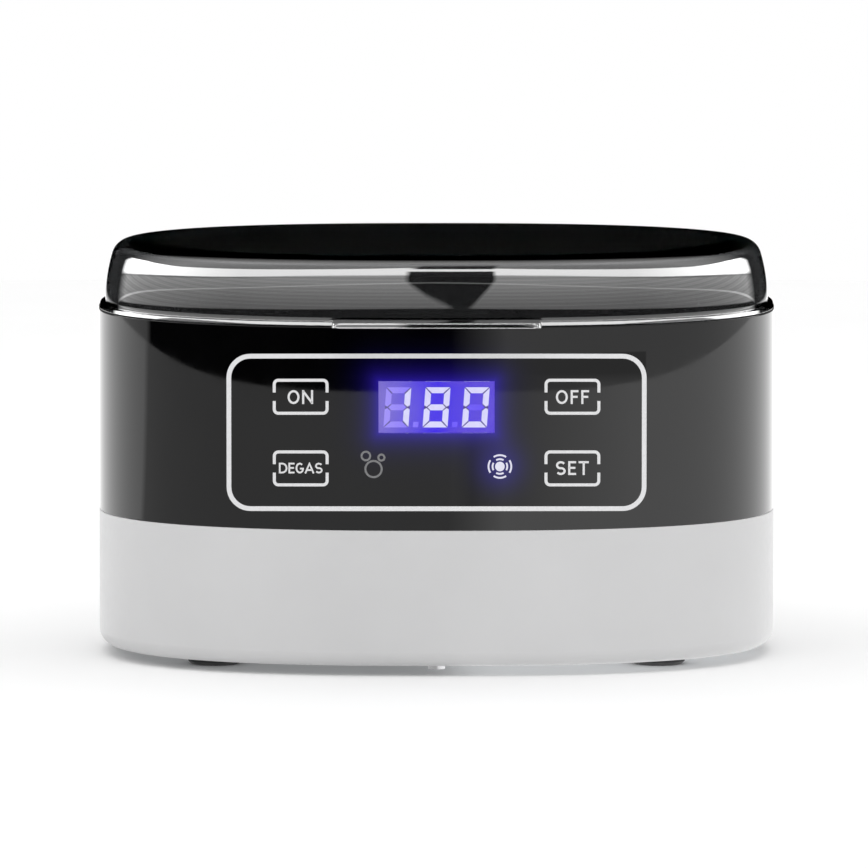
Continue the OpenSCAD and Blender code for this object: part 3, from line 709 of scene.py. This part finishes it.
def room_glow(n):
    """Grey striped wall with a softbox above it, both lower to the sides, and a dark bulb ahead."""
    turn, rise, aside = directions(n)
    side = n.math("ABSOLUTE", turn)
    side_squared = n.times(side, side)
    in_front = n.spread(side, 1, 0, 130, 140)
    below = n.times(band(n, rise, -60, -4, 0.6), right_share(n, turn), BELOW_GLOW)

    box_foot = n.plus(BOX_FOOT, n.times(side, -0.08), n.times(side_squared, -0.0006))
    box_height = n.plus(5.0, n.times(n.fall(n.times(side, 1 / 28)), 27.0), n.spread(side, 0, 9, 85, 120))
    lift = n.minus(rise, box_foot)
    share = n.math("DIVIDE", lift, box_height)
    box = n.times(band(n, share, 0, 1, 0.07), in_front, BOX_GLOW)
    wall_foot = n.plus(4.0, n.times(side, -0.045))
    wall = n.times(wall_glow(n, rise, lift, wall_foot), in_front)
    cosines = [n.math("COSINE", n.times(angle, math.radians(1))) for angle in (turn, rise)]
    upper = n.times(n.spread(share, 0, 1, 1.0, 1.1), n.spread(n.times(*cosines), 0, 3.4, -0.75, 0))

    above_line = n.plus(rise, n.times(side, 0.10), n.times(side_squared, 0.0005))
    line = n.times(band(n, above_line, *LINE_AT, 0.25), in_front, LINE_GLOW)
    unshaded = n.minus(1.0, band(n, rise, 34, 46, 3))
    shown = n.minus(1.0, n.times(bulb_shade(n, rise, side, aside), unshaded))
    level = n.spread(side, 0.21, 0.36, 50, 125)
    return n.plus(n.times(n.plus(n.times(n.plus(wall, box, upper), shown), line), level), below)


def add_reflection_room():
    """Gloss-only floor disc and dome: what the black collar and the clear lid mirror."""
    ground = floor_disc("mirror_floor", -1 * MM)
    dress(ground, glow_by("mirror_floor", ground_glow))
    reflection_only(ground)
    bm = bmesh.new()
    bmesh.ops.create_uvsphere(bm, u_segments=96, v_segments=48, radius=ROOM_R)
    mesh = bpy.data.meshes.new("mirror_room")
    bm.to_mesh(mesh)
    bm.free()
    room = bpy.data.objects.new("mirror_room", mesh)
    room.location = (0, 0, ROOM_Z)
    scene.collection.objects.link(room)
    dress(room, glow_by("mirror_room", room_glow))
    reflection_only(room)


def add_overhead_light():
    data = bpy.data.lights.new("overhead", "AREA")
    data.shape = "RECTANGLE"
    data.size = data.size_y = 1.6
    data.energy = 5
    lamp = bpy.data.objects.new("overhead", data)
    scene.collection.objects.link(lamp)
    location, target = Vector((0, -0.2, 1.5)), Vector((0, 0, 0.05))
    lamp.location = location
    lamp.rotation_euler = (target - location).to_track_quat("-Z", "Y").to_euler()
    lamp.visible_glossy = False
    lamp.visible_camera = False


def add_world():
    world = bpy.data.worlds.new("studio")
    world.use_nodes = True
    back = world.node_tree.nodes["Background"]
    back.inputs["Color"].default_value = (1, 1, 1, 1)
    back.inputs["Strength"].default_value = 1.0
    scene.world = world
    scene.view_settings.view_transform = "Standard"


add_camera()
add_world()
add_floor()
add_reflection_room()
add_overhead_light()


# ---------- shells ----------

SEAM_R = 0.25 * MM          # rounding on both sides of the seam
POST_X = 78 * MM
POST_Y = 50 * MM
POST_R = 4 * MM
TAB_HALF = 32.8 * MM
TAB_CORNER = 2.4 * MM
BEAD_INSET = 7.5 * MM       # from the end of the lid's round-over in to the raised bead
VENT_SLOTS = 6
VENT_X = 22 * MM            # the slot nearest to the middle, on each side
VENT_PITCH = 5 * MM
VENT_HALF = 1.25 * MM
VENT_Z = (14 * MM, 34 * MM)


def build_base():
    edge = 4.5 * MM
    ledge_in, ledge_top, ledge_under = 16 * MM, 8 * MM, 5.2 * MM
    foot_in = 5.3 * MM
    outer = arc(edge, BASE_Z + edge, edge, -90, 0, 8) + arc(SEAM_R, SEAM_Z - SEAM_R, SEAM_R, 0, 90, 3)
    inner = [(WALL, SEAM_Z), (WALL, ledge_top), (ledge_in, ledge_top), (ledge_in, ledge_under),
             (foot_in, ledge_under), (foot_in, BASE_Z)]
    base = loft("base_shell_skin", support(from_insets(outer + inner)))
    past, vent_depth, inlet_depth = HALF_D + 3 * MM, 18 * MM, 8 * MM
    rim_x, rim_z = 1.4 * MM, 1.2 * MM           # the inlet's flange overlaps its hole by this
    cuts = [box_mesh((inlet_low.x + rim_x, HALF_D - inlet_depth, inlet_low.z + rim_z),
                     (inlet_high.x - rim_x, past, inlet_high.z - rim_z))]
    for side in (-1, 1):
        for i in range(VENT_SLOTS):
            x = side * (VENT_X + VENT_PITCH * i)
            slot = rounded_outline(x - VENT_HALF, VENT_Z[0], x + VENT_HALF, VENT_Z[1], 1.2 * MM, 4)
            cuts.append(prism(slot, HALF_D - vent_depth, past, "y"))
    boolean(base, cuts)
    dress(base, MATERIALS["white_shell"])
    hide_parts("base_shell")
    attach(base, "housing")


def build_collar():
    top, rim, chamfer = 0.22 * MM, 6 * MM, 0.5 * MM
    profile = [(WALL, SEAM_Z), (SEAM_R, SEAM_Z)]
    profile += arc(SEAM_R, SEAM_Z + SEAM_R, SEAM_R, -60, 0, 3)
    profile += arc(top, RIM_Z - top, top, 0, 90, 3)
    profile += [(rim - chamfer, RIM_Z), (rim, RIM_Z - chamfer), (rim, deck_high.z), (WALL, deck_high.z)]
    collar = loft("collar_skin", support(from_insets(profile)))
    margin = 0.1 * MM
    cut = box_mesh((window_low.x - margin, -HALF_D - 2 * MM, window_low.z - margin),
                   (window_high.x + margin, -HALF_D + 8 * MM, window_high.z + margin))
    boolean(collar, [cut])
    dress(collar, MATERIALS["black_gloss"])
    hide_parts("collar")
    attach(collar, "housing")


def build_deck():
    """Flat plate round the tank on four posts."""
    top, under = deck_high.z, deck_high.z - 2.5 * MM
    edge, play, flange_rest = 0.4 * MM, 0.1 * MM, 2.9 * MM
    hole_l, hole_d = tank_high.x - flange_rest, tank_high.y - flange_rest
    profile = from_insets([(WALL + play, under), (WALL + play, top)])
    profile += [(hole_l + edge, hole_d + edge, top), (hole_l, hole_d, top - edge), (hole_l, hole_d, under)]
    deck = loft("deck_skin", support(profile))
    posts = [prism(disc_outline(x, y, POST_R), deck_low.z, under + 1 * MM, "z")
             for x in (-POST_X, POST_X) for y in (-POST_Y, POST_Y)]
    boolean(deck, posts, "UNION")
    dress(deck, MATERIALS["black_gloss"])
    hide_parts("deck")
    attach(deck, "housing")


def lid_tab(z0):
    """Finger tab, with rounded edges: each level is the shrinkage of the outline and the height, in mm."""
    outline = rounded_outline(-TAB_HALF, lid_low.y, TAB_HALF, -HALF_D + 6 * MM, TAB_CORNER, 8)
    levels = ((0.30, 0.0), (0.02, 0.12), (0.0, 0.20), (0.17, 0.62), (0.17, 1.12), (0.35, 1.54),
              (0.40, 1.70), (0.75, 1.78))
    n, last = len(outline), len(levels) - 1
    verts = []
    for shrink, rise in levels:
        verts += [(x * (1 - shrink * MM / TAB_HALF), y + (shrink * MM if y < -HALF_D else 0), z0 + rise * MM)
                  for x, y in outline]
    faces = [tuple(reversed(range(n))), tuple(range(last * n, (last + 1) * n))]
    for i in range(last):
        faces += ring_faces(i * n, (i + 1) * n, n)
    return verts, faces


def build_lid():
    """Clear lid: a lip, a leaning side that bulges a little, a round-over, a raised bead and a low crown."""
    z0 = lid_low.z
    inset, wall = 2.0 * MM, 2.2 * MM
    fillet, crown = 5.0 * MM, 0.5 * MM
    lip, bead_h = 1.2 * MM, 0.18 * MM
    lean, over_lip, squash = math.radians(16), 0.4 * MM, 0.975
    edge_z = LID_TOP - crown - 0.05 * MM
    shoulder_z = edge_z - fillet * (1 - math.sin(lean))
    bulge = (shoulder_z - z0 - lip) / math.sin(lean)
    lip_line = ((0.30, 0.0), (0.05, 0.10), (0.0, 0.20), (0.26, 0.90), (0.31, 1.08), (0.50, 1.20),
                (1.65, 1.20), (1.92, 1.32))     # inset and height, in mm
    outer = [(i * MM, z0 + rise * MM) for i, rise in lip_line]
    side, steps = [], 12
    for i in range(steps + 1):
        a = lean * i / steps
        side.append((inset + bulge * (1 - math.cos(a)), z0 + lip + over_lip + bulge * math.sin(a) * squash))
    top_inset = side[-1][0] + fillet * math.cos(lean)
    round_over = arc(top_inset, edge_z - fillet, fillet, math.degrees(lean), 90, 14)[1:]
    inner = [(inset + wall, z0)] + [(i + wall, z) for i, z in side[1::3]]
    inner += arc(top_inset, edge_z - fillet, fillet - wall, math.degrees(lean), 90, 8)[1:]
    bead = BEAD_INSET + top_inset
    bead_line = [(bead, edge_z + 0.02 * MM), (bead + 0.35 * MM, edge_z + 0.16 * MM),
                 (bead + 0.8 * MM, edge_z + bead_h)]
    top_l, top_d = HALF_L - bead, HALF_D - bead

    def crown_rings(z_edge, shares):
        return [(top_l * s, top_d * s, z_edge + (crown - 0.2 * MM) * (1 - s ** 2.2)) for s in shares]

    shares = (0.95, 0.86, 0.72, 0.54, 0.36, 0.18, 0.03)
    rings = from_insets(outer + side + round_over + bead_line) + crown_rings(edge_z + bead_h, shares)
    under = crown_rings(edge_z - wall, reversed(shares)) + list(reversed(from_insets(inner)))
    lid = loft("lid_shell", rings + under, gap=len(rings) - 1)
    boolean(lid, [lid_tab(z0)], "UNION")
    dress(lid, MATERIALS["clear_lid"])
    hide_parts("lid")
    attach(lid, "lid")


def build_tank():
    """Drawn pan: a flange, a bend into the wall and a rounded corner to the floor, one sheet thick."""
    flange, sheet, bend, corner = 4.5 * MM, 0.8 * MM, 1.4 * MM, 7.0 * MM
    edge = 0.15 * MM
    inner_l, inner_d = tank_high.x - flange, tank_high.y - flange
    top, floor_z = tank_high.z, tank_low.z + sheet
    middle = inner_d * 0.97
    inside = [(-flange, top - sheet), (-flange, top - edge), (edge - flange, top)]
    for a in map(math.radians, (0, 22, 45, 68, 90)):
        inside.append((-bend * (1 - math.sin(a)), top - bend * (1 - math.cos(a))))
    inside += arc(corner, floor_z + corner, corner, 0, -90, 9)
    inside += [(inner_d * 0.55, floor_z), (middle, floor_z)]
    under = [(middle, floor_z - sheet), (corner, floor_z - sheet)]
    under += arc(corner, floor_z + corner, corner + sheet, -80, 0, 8)
    under.append((-sheet, top - sheet))
    tank = loft("tank_pan", from_insets(inside + under, inner_l, inner_d), gap=len(inside) - 1)
    dress(tank, MATERIALS["tank_steel"])
    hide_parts("tank")
    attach(tank, "housing")


def slots_through(half_count, reach, axis):
    """Upright slots in a row, cut right through the basket along x or y."""
    pitch, half, low, high = 10 * MM, 2.5 * MM, 68 * MM, 103 * MM
    cuts = []
    for i in range(-half_count, half_count + 1):
        slot = rounded_outline(i * pitch - half, low, i * pitch + half, high, 1.2 * MM, 4)
        cuts.append(prism(slot, -reach - 1 * MM, reach + 1 * MM, axis))
    return cuts


def floor_slots(l, d, z0):
    """Slots across the basket's floor, kept clear of the wall and of the grip's foot."""
    half_count, pitch, half = 7, 8 * MM, 2 * MM
    rib, grip_foot = 2 * MM, 10.5 * MM          # half widths of what stays uncut along the middle
    end_l, end_d = l - 6 * MM, d - 8 * MM
    cuts = []
    for i in range(-half_count, half_count + 1):
        x = i * pitch
        reach = end_d * max(0.0, 1 - (abs(x) / end_l) ** OVAL_POWER) ** (1 / OVAL_POWER)
        near = grip_foot if abs(x - GRIP_X) < 10 * MM else rib
        for side in (-1, 1):
            a, b = sorted((side * near, side * reach))
            cuts.append(box_mesh((x - half, a, z0 - 1 * MM), (x + half, b, z0 + 3 * MM)))
    return cuts


def build_basket():
    """Basket with a round-edged rim, a lug on each side, upright slots and small square holes by the rim."""
    lug_out = 7.5 * MM
    l, d = basket_high.x - lug_out, basket_high.y - lug_out
    z0, z1 = basket_low.z, basket_high.z
    wall, rim_r, nip = 2.0 * MM, 0.7 * MM, 0.2 * MM
    profile = [(2.5 * MM, z0), (0.8 * MM, z0 + 0.6 * MM), (0, z0 + 2.5 * MM)]
    profile += [(0, z1 - rim_r), (nip, z1 - nip), (rim_r, z1)]
    profile += [(wall - rim_r, z1), (wall - nip, z1 - nip), (wall, z1 - rim_r)]
    profile += [(wall, z0 + 3.5 * MM), (wall + 0.5 * MM, z0 + 2.3 * MM), (wall + 2 * MM, z0 + 2 * MM)]
    basket = loft("basket_body", from_insets(profile, l, d), gap=len(profile) - 1)
    lug_low, lug_high, lug_root = z0 + 49.1 * MM, z0 + 50.7 * MM, 1.2 * MM
    lugs = []
    for side in (-1, 1):                        # wide is half of a lug's width
        for axis, wide, edge, end in (("x", 12 * MM, l, basket_high.x), ("y", 16 * MM, d, basket_high.y)):
            outline = [(-wide, lug_low), (wide, lug_low), (wide, lug_high), (-wide, lug_high)]
            lugs.append(prism(outline, *sorted((side * (edge - lug_root), side * end)), axis))
    boolean(basket, lugs, "UNION")
    holes, hole_x, hole_pitch, hole_half = 5, 48 * MM, 4.6 * MM, 1.5 * MM
    hole_low, hole_high, past = 110.6 * MM, 112.5 * MM, d + 1 * MM
    cuts = slots_through(5, d, "y")
    for side in (-1, 1):
        for i in range(holes):
            x = side * (hole_x + hole_pitch * i)
            cuts.append(box_mesh((x - hole_half, -past, hole_low), (x + hole_half, past, hole_high)))
    boolean(basket, cuts)
    boolean(basket, slots_through(2, l, "x"))
    boolean(basket, floor_slots(l, d, z0))
    soften(basket, 0.25 * MM, 1, 50)
    dress(basket, MATERIALS["basket_black"])
    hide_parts("basket")
    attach(basket, "basket")


def build_grip():
    """Turned lifting grip with a flared top."""
    shape = [(0.0, 63), (6.3, 63), (6.5, 63.6), (5.4, 65.4), (4.7, 68), (4.6, 80), (4.6, 103), (4.9, 105.5),
             (5.8, 108), (7.6, 110.8), (10.2, 113.4), (12.3, 115.6), (13.3, 117), (13.6, 118), (13.3, 119.2),
             (12.2, 120.4), (10, 121.1), (7, 121.4), (3, 121.5), (0.0, 121.5)]    # radius and height, in mm
    steps = 64
    verts = [(GRIP_X, 0, shape[0][1] * MM)]
    for r, z in shape[1:-1]:
        verts += [(x, y, z * MM) for x, y in disc_outline(GRIP_X, 0, r * MM, steps)]
    verts.append((GRIP_X, 0, shape[-1][1] * MM))
    rings, last = len(shape) - 2, len(verts) - 1
    faces = []
    for i in range(rings - 1):
        faces += ring_faces(1 + i * steps, 1 + (i + 1) * steps, steps)
    for k in range(steps):
        n = (k + 1) % steps
        faces += [(0, 1 + n, 1 + k), (last - steps + k, last - steps + n, last)]
    grip = make_object("basket_grip_turned", verts, faces)
    dress(grip, MATERIALS["basket_black"])
    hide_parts("basket_grip")
    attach(grip, "basket")


# ---------- panel print ----------

DROOP = math.tan(CAMERA_RISE)
WORD_STROKE = 0.66 * MM
WORDS = (                   # text, middle x and z, height, total width, stroke
    ("ON", -KEY_X - 0.1 * MM, 88.0 * MM, 4.35 * MM, 8.0 * MM, WORD_STROKE),
    ("OFF", KEY_X, 88.0 * MM, 4.35 * MM, 10.4 * MM, WORD_STROKE),
    ("SET", KEY_X, 65.7 * MM, 4.35 * MM, 10.3 * MM, WORD_STROKE),
    ("DEGAS", -KEY_X, 65.7 * MM, 3.35 * MM, 13.7 * MM, 0.53 * MM))


def on_panel(x, z, lift):
    """A print point on the collar's front; rows dip at the ends, so that they look straight from ahead."""
    y = front_y(x)
    return (x, y - lift, z - (y + HALF_D) * DROOP)


def ink_disc(x, z, radius):
    outline = disc_outline(x, z, radius)
    front = [on_panel(u, v, INK * 1.5) for u, v in outline]
    return capped(front, [on_panel(u, v, -INK / 2) for u, v in outline])


def subdivide(path, step, closed):
    out = []
    n = len(path)
    for i in range(n if closed else n - 1):
        a, b = Vector(path[i]), Vector(path[(i + 1) % n])
        pieces = max(1, math.ceil((b - a).length / step))
        out += [tuple(a.lerp(b, k / pieces)) for k in range(pieces)]
    if not closed:
        out.append(tuple(path[-1]))
    return out


def ribbon(path, width, closed=False):
    """A line of even width along a path in the panel's plane, as one strip of ink."""
    path = [Vector(point) for point in subdivide(path, INK_STEP, closed)]
    n = len(path)
    verts, faces = [], []
    for i, p in enumerate(path):
        before = path[i - 1] if i > 0 or closed else None
        after = path[(i + 1) % n] if i < n - 1 or closed else None
        a = (p - before).normalized() if before is not None else (after - p).normalized()
        b = (after - p).normalized() if after is not None else a
        mid = (a + b).normalized()
        stretch = 1 / max(0.5, mid.dot(a))
        side = Vector((-mid.y, mid.x)) * (width / 2 * stretch)
        for q in (p + side, p - side):
            verts += [on_panel(q.x, q.y, INK), on_panel(q.x, q.y, -INK)]
    for i in range(n if closed else n - 1):
        a, b = 4 * i, 4 * ((i + 1) % n)
        faces += [(a, b, b + 2, a + 2), (a + 1, a + 3, b + 3, b + 1)]
        faces += [(a, a + 1, b + 1, b), (a + 2, b + 2, b + 3, a + 3)]
    if not closed:
        end = 4 * (n - 1)
        faces += [(0, 2, 3, 1), (end, end + 1, end + 3, end + 2)]
    return verts, faces


def key_frame(x, z):
    """A rounded key outline, broken by a gap in the middle of each side."""
    w, h = KEY_SIZE[0] / 2 - KEY_LINE / 2, KEY_SIZE[1] / 2 - KEY_LINE / 2
    r, gap = KEY_R - KEY_LINE / 2, KEY_GAP / 2
    halves = []
    for s in (1, -1):
        path = [(x + w, z + s * gap)]
        for side, start in ((1, 0), (-1, 90)):
            path += curve(x + side * (w - r), z + s * (h - r), r, s * r, start, start + 90, 6)
        path.append((x - w, z + s * gap))
        halves.append(ribbon(path, KEY_LINE))
    return halves


def letter_strokes(letter, w, cap):
    """Centre lines of plain capitals in a cell w wide and 1 high; free ends run on by cap, half a stroke."""
    foot, head, end = -cap, 1 + cap, w + cap
    middle = 0.52
    bowl = curve(w * 0.35, 0.5, w * 0.65, 0.5, 90, -90, 12)
    hook = curve(w * middle, 0.5, w * middle, 0.5, 48, 330, 16)
    upper = curve(w / 2, 0.74, w / 2, 0.26, 30, 250)
    lower = curve(w / 2, 0.25, w / 2, 0.25, 70, -150)
    return {
        "O": [curve(w / 2, 0.5, w / 2, 0.5, 0, 342, 24)],
        "N": [[(0, foot), (0, head)], [(w, foot), (w, head)], [(0, 1), (w, 0)]],
        "F": [[(0, foot), (0, 1), (end, 1)], [(0, middle), (end * 0.88, middle)]],
        "E": [[(end, 1), (0, 1), (0, 0), (end, 0)], [(0, middle), (end * 0.9, middle)]],
        "T": [[(-cap, 1), (end, 1)], [(w / 2, 1), (w / 2, foot)]],
        "D": [[(0, foot), (0, 1)] + bowl + [(0, 0)]],
        "A": [[(-cap / 2, foot), (w / 2, 1), (w + cap / 2, foot)], [(w * 0.17, 0.28), (w * 0.83, 0.28)]],
        "G": [hook + [(w, 0.44), (w * 0.55, 0.44)]],
        "S": [upper + lower],
    }[letter]


LETTER_WIDTHS = {           # shares of the height
    "O": 0.86, "N": 0.79, "F": 0.56, "E": 0.57, "T": 0.74, "D": 0.80, "A": 0.86, "G": 0.77, "S": 0.70,
}


def word(text, x, z, height, total, stroke):
    """A word centred on x, z: its letters are spaced to fill the total width."""
    rise = height - stroke
    widths = [LETTER_WIDTHS[c] * height - stroke for c in text]
    ink = sum(widths) + stroke * len(text)
    gap = (total - ink) / (len(text) - 1)
    u = x - total / 2 + stroke / 2
    parts = []
    for c, w in zip(text, widths):
        for path in letter_strokes(c, w / rise, stroke / 2 / rise):
            points = [(u + px * rise, z - rise / 2 + py * rise) for px, py in path]
            parts.append(ribbon(points, stroke, closed=c == "O"))
        u += w + stroke + gap
    return parts


def ink_object(name, parts, material):
    obj = make_object(name, *join_meshes(parts))
    dress(obj, MATERIALS[material])
    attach(obj, "housing")


def build_print():
    line = PANEL_LINE / 2
    half, low, high = PANEL_HALF - line, PANEL_Z[0] + line, PANEL_Z[1] - line
    outline = rounded_outline(-half, low, half, high, PANEL_R - line, 10)
    ink_object("panel_outline", [ribbon(outline, PANEL_LINE, True)], "panel_print")
    keys = []
    for x in (-KEY_X, KEY_X):
        for z in KEY_Z:
            keys += key_frame(x, z)
    ink_object("key_outlines", keys, "panel_print")
    text = [part for values in WORDS for part in word(*values)]
    ink_object("key_words", text, "panel_print")
    rings = [ribbon(disc_outline(x, z, r), 0.62 * MM, True) for x, z, r in DIM_ICON]
    ink_object("bubble_icon", rings, "dim_print")
    x, z = LIT_ICON
    waves = [ink_disc(x, z, 1.5 * MM)]
    for turn in (0, 90, 180, 270):
        for radius, spread in ((2.3 * MM, 30), (3.56 * MM, 33)):
            waves.append(ribbon(curve(x, z, radius, radius, turn - spread, turn + spread), 0.55 * MM))
    ink_object("wave_icon", waves, "lit_icon")


# ---------- display ----------

DIGIT_H = 12.6 * MM
DIGIT_W = 7.8 * MM
DIGIT_DROP = 0.4 * MM
STROKE = 1.85 * MM
SLANT = math.tan(math.radians(4.3))
PITCH = 12.25 * MM
SEGMENT_GAP = 0.2 * MM
POINT_SIZE = 1.7 * MM       # decimal point
BAR_EDGE = 0.05 * MM        # from the digit's box in to the dark bars
BAR_NICK = 0.02 * MM        # keeps the corners of neighbouring bars apart
SEGMENTS_OF = {"1": "bc", "8": "abcdefg", "0": "abcdef"}


def segment_shapes():
    """Outlines of the seven segments, in a box DIGIT_W wide and DIGIT_H high."""
    w, h, s, g = DIGIT_W, DIGIT_H, STROKE, SEGMENT_GAP
    m, tip = h / 2, s * 0.42
    inner, point = s + g * 1.6, tip + g * 1.4
    level = [(g, 0), (inner, s), (w - inner, s), (w - g, 0)]
    upright = [(0, h - g), (0, m + s * 0.35), (tip, m + g), (s, m + s * 0.5 + g), (s, h - inner)]
    bar = [(point, m), (s + g, m + s / 2), (w - s - g, m + s / 2)]

    def over(shape):
        return [(x, h - y) for x, y in shape]

    def across(shape):
        return [(w - x, y) for x, y in shape]

    return {
        "a": over(level), "d": level, "f": upright, "b": across(upright), "e": over(upright),
        "c": over(across(upright)), "g": bar + over(across(bar)),
    }


def dark_bars():
    """The unlit grid behind the segments, in the same box: level bars, upright bars and the middle one."""
    w, h, s, e, corner = DIGIT_W, DIGIT_H, STROKE, BAR_EDGE, 2 * BAR_EDGE
    inner, shoulder = s - BAR_NICK, s + BAR_NICK
    level = [(corner, e), (w - corner, e), (w - s, s), (s, s)]
    upright = [(e, corner), (inner, shoulder), (inner, h - shoulder), (e, h - corner)]
    middle = [(s, h / 2 - s / 2), (w - s, h / 2 - s / 2), (w - s, h / 2 + s / 2), (s, h / 2 + s / 2)]
    return [level, [(x, h - y) for x, y in level], upright, [(w - x, y) for x, y in upright], middle]


def digit_plate(shape, origin, y, depth=0.12 * MM):
    u0, v0 = origin
    outline = [(u0 + u + v * SLANT, v0 + v) for u, v in shape]
    return prism(outline, y - depth, y, "y")


def build_lens():
    """Curved window that continues the collar's front."""
    steps = 24
    xs = [window_low.x + (window_high.x - window_low.x) * i / steps for i in range(steps + 1)]
    outline = [(x, front_y(x)) for x in xs] + [(x, front_y(x) + WALL) for x in reversed(xs)]
    n = len(outline)
    verts = [(x, y, z) for z in (window_low.z, window_high.z) for x, y in outline]
    faces = [(i, (i + 1) % n, n + (i + 1) % n, n + i) for i in range(n)]
    for i in range(steps):
        j = n - 1 - i
        faces += [(i, j, j - 1, i + 1), (n + i, n + i + 1, n + j - 1, n + j)]
    lens = make_object("window_lens", verts, faces)
    dress(lens, MATERIALS["display_lens"])
    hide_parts("display_window")
    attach(lens, "housing")


def build_display():
    """The lit face, a dark grid over it and the segments over the grid, all right behind the window."""
    face_y = module_low.y
    lit_y, dark_y, back_y = face_y - 0.20 * MM, face_y - 0.10 * MM, face_y
    point_x = (DIGIT_W + PITCH - POINT_SIZE) / 2
    point_top = BAR_EDGE + POINT_SIZE
    point = [(point_x, BAR_EDGE), (point_x + POINT_SIZE, BAR_EDGE), (point_x + POINT_SIZE, point_top),
             (point_x, point_top)]
    lit, unlit, dark = [], [], []
    for i, digit in enumerate("180"):
        origin = (WINDOW_CENTRE.x + (i - 1) * PITCH - DIGIT_W / 2 - DIGIT_H / 2 * SLANT,
                  WINDOW_CENTRE.z - DIGIT_H / 2 - DIGIT_DROP)
        for key, shape in segment_shapes().items():
            target = lit if key in SEGMENTS_OF[digit] else unlit
            target.append(digit_plate(shape, origin, lit_y))
        dark += [digit_plate(bar, origin, dark_y, 0.06 * MM) for bar in dark_bars()]
        if i < 2:
            unlit.append(digit_plate(point, origin, lit_y))
    ink_object("digit_gaps", dark, "display_dark")
    ink_object("digit_segments_unlit", unlit, "unlit_segment")
    ink_object("digit_segments_lit", lit, "lit_segment")
    face = make_object("display_face", *box_mesh((module_low.x, dark_y, module_low.z),
                                                 (module_high.x, back_y, module_high.z)))
    dress(face, MATERIALS["display_body"])
    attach(face, "housing")


# ---------- CAD nodes that stay ----------

CAD_SOFTENED = {            # width of the rounded edges, in mm
    "hinge_ears": 0.35, "hinge_block": 0.5, "power_inlet": 0.3, "rubber_feet": 0.6, "bottom_plate": 0.2,
    "hinge_pin": 0.25, "transducer_bolt": 0.3, "back_mass": 0.3, "transducer_horn": 0.3,
    "drive_transformer": 0.3, "power_transistors": 0.2, "film_capacitors": 0.6, "board_connectors": 0.3,
    "buzzer": 0.3,
}


def dress_cad():
    """Materials and softened edges for the CAD parts that are shown as they are."""
    slot_of = {s["node"]: s["material_slot"] for s in frame["record"]["subparts"]}
    for name, node in frame["nodes"].items():
        if node.hide_render:
            continue
        dress(node, MATERIALS[slot_of[name]])
        if name in CAD_SOFTENED:
            soften(node, CAD_SOFTENED[name] * MM)


build_base()
build_collar()
build_deck()
build_lid()
build_tank()
build_basket()
build_grip()
build_print()
build_display()
build_lens()
dress_cad()
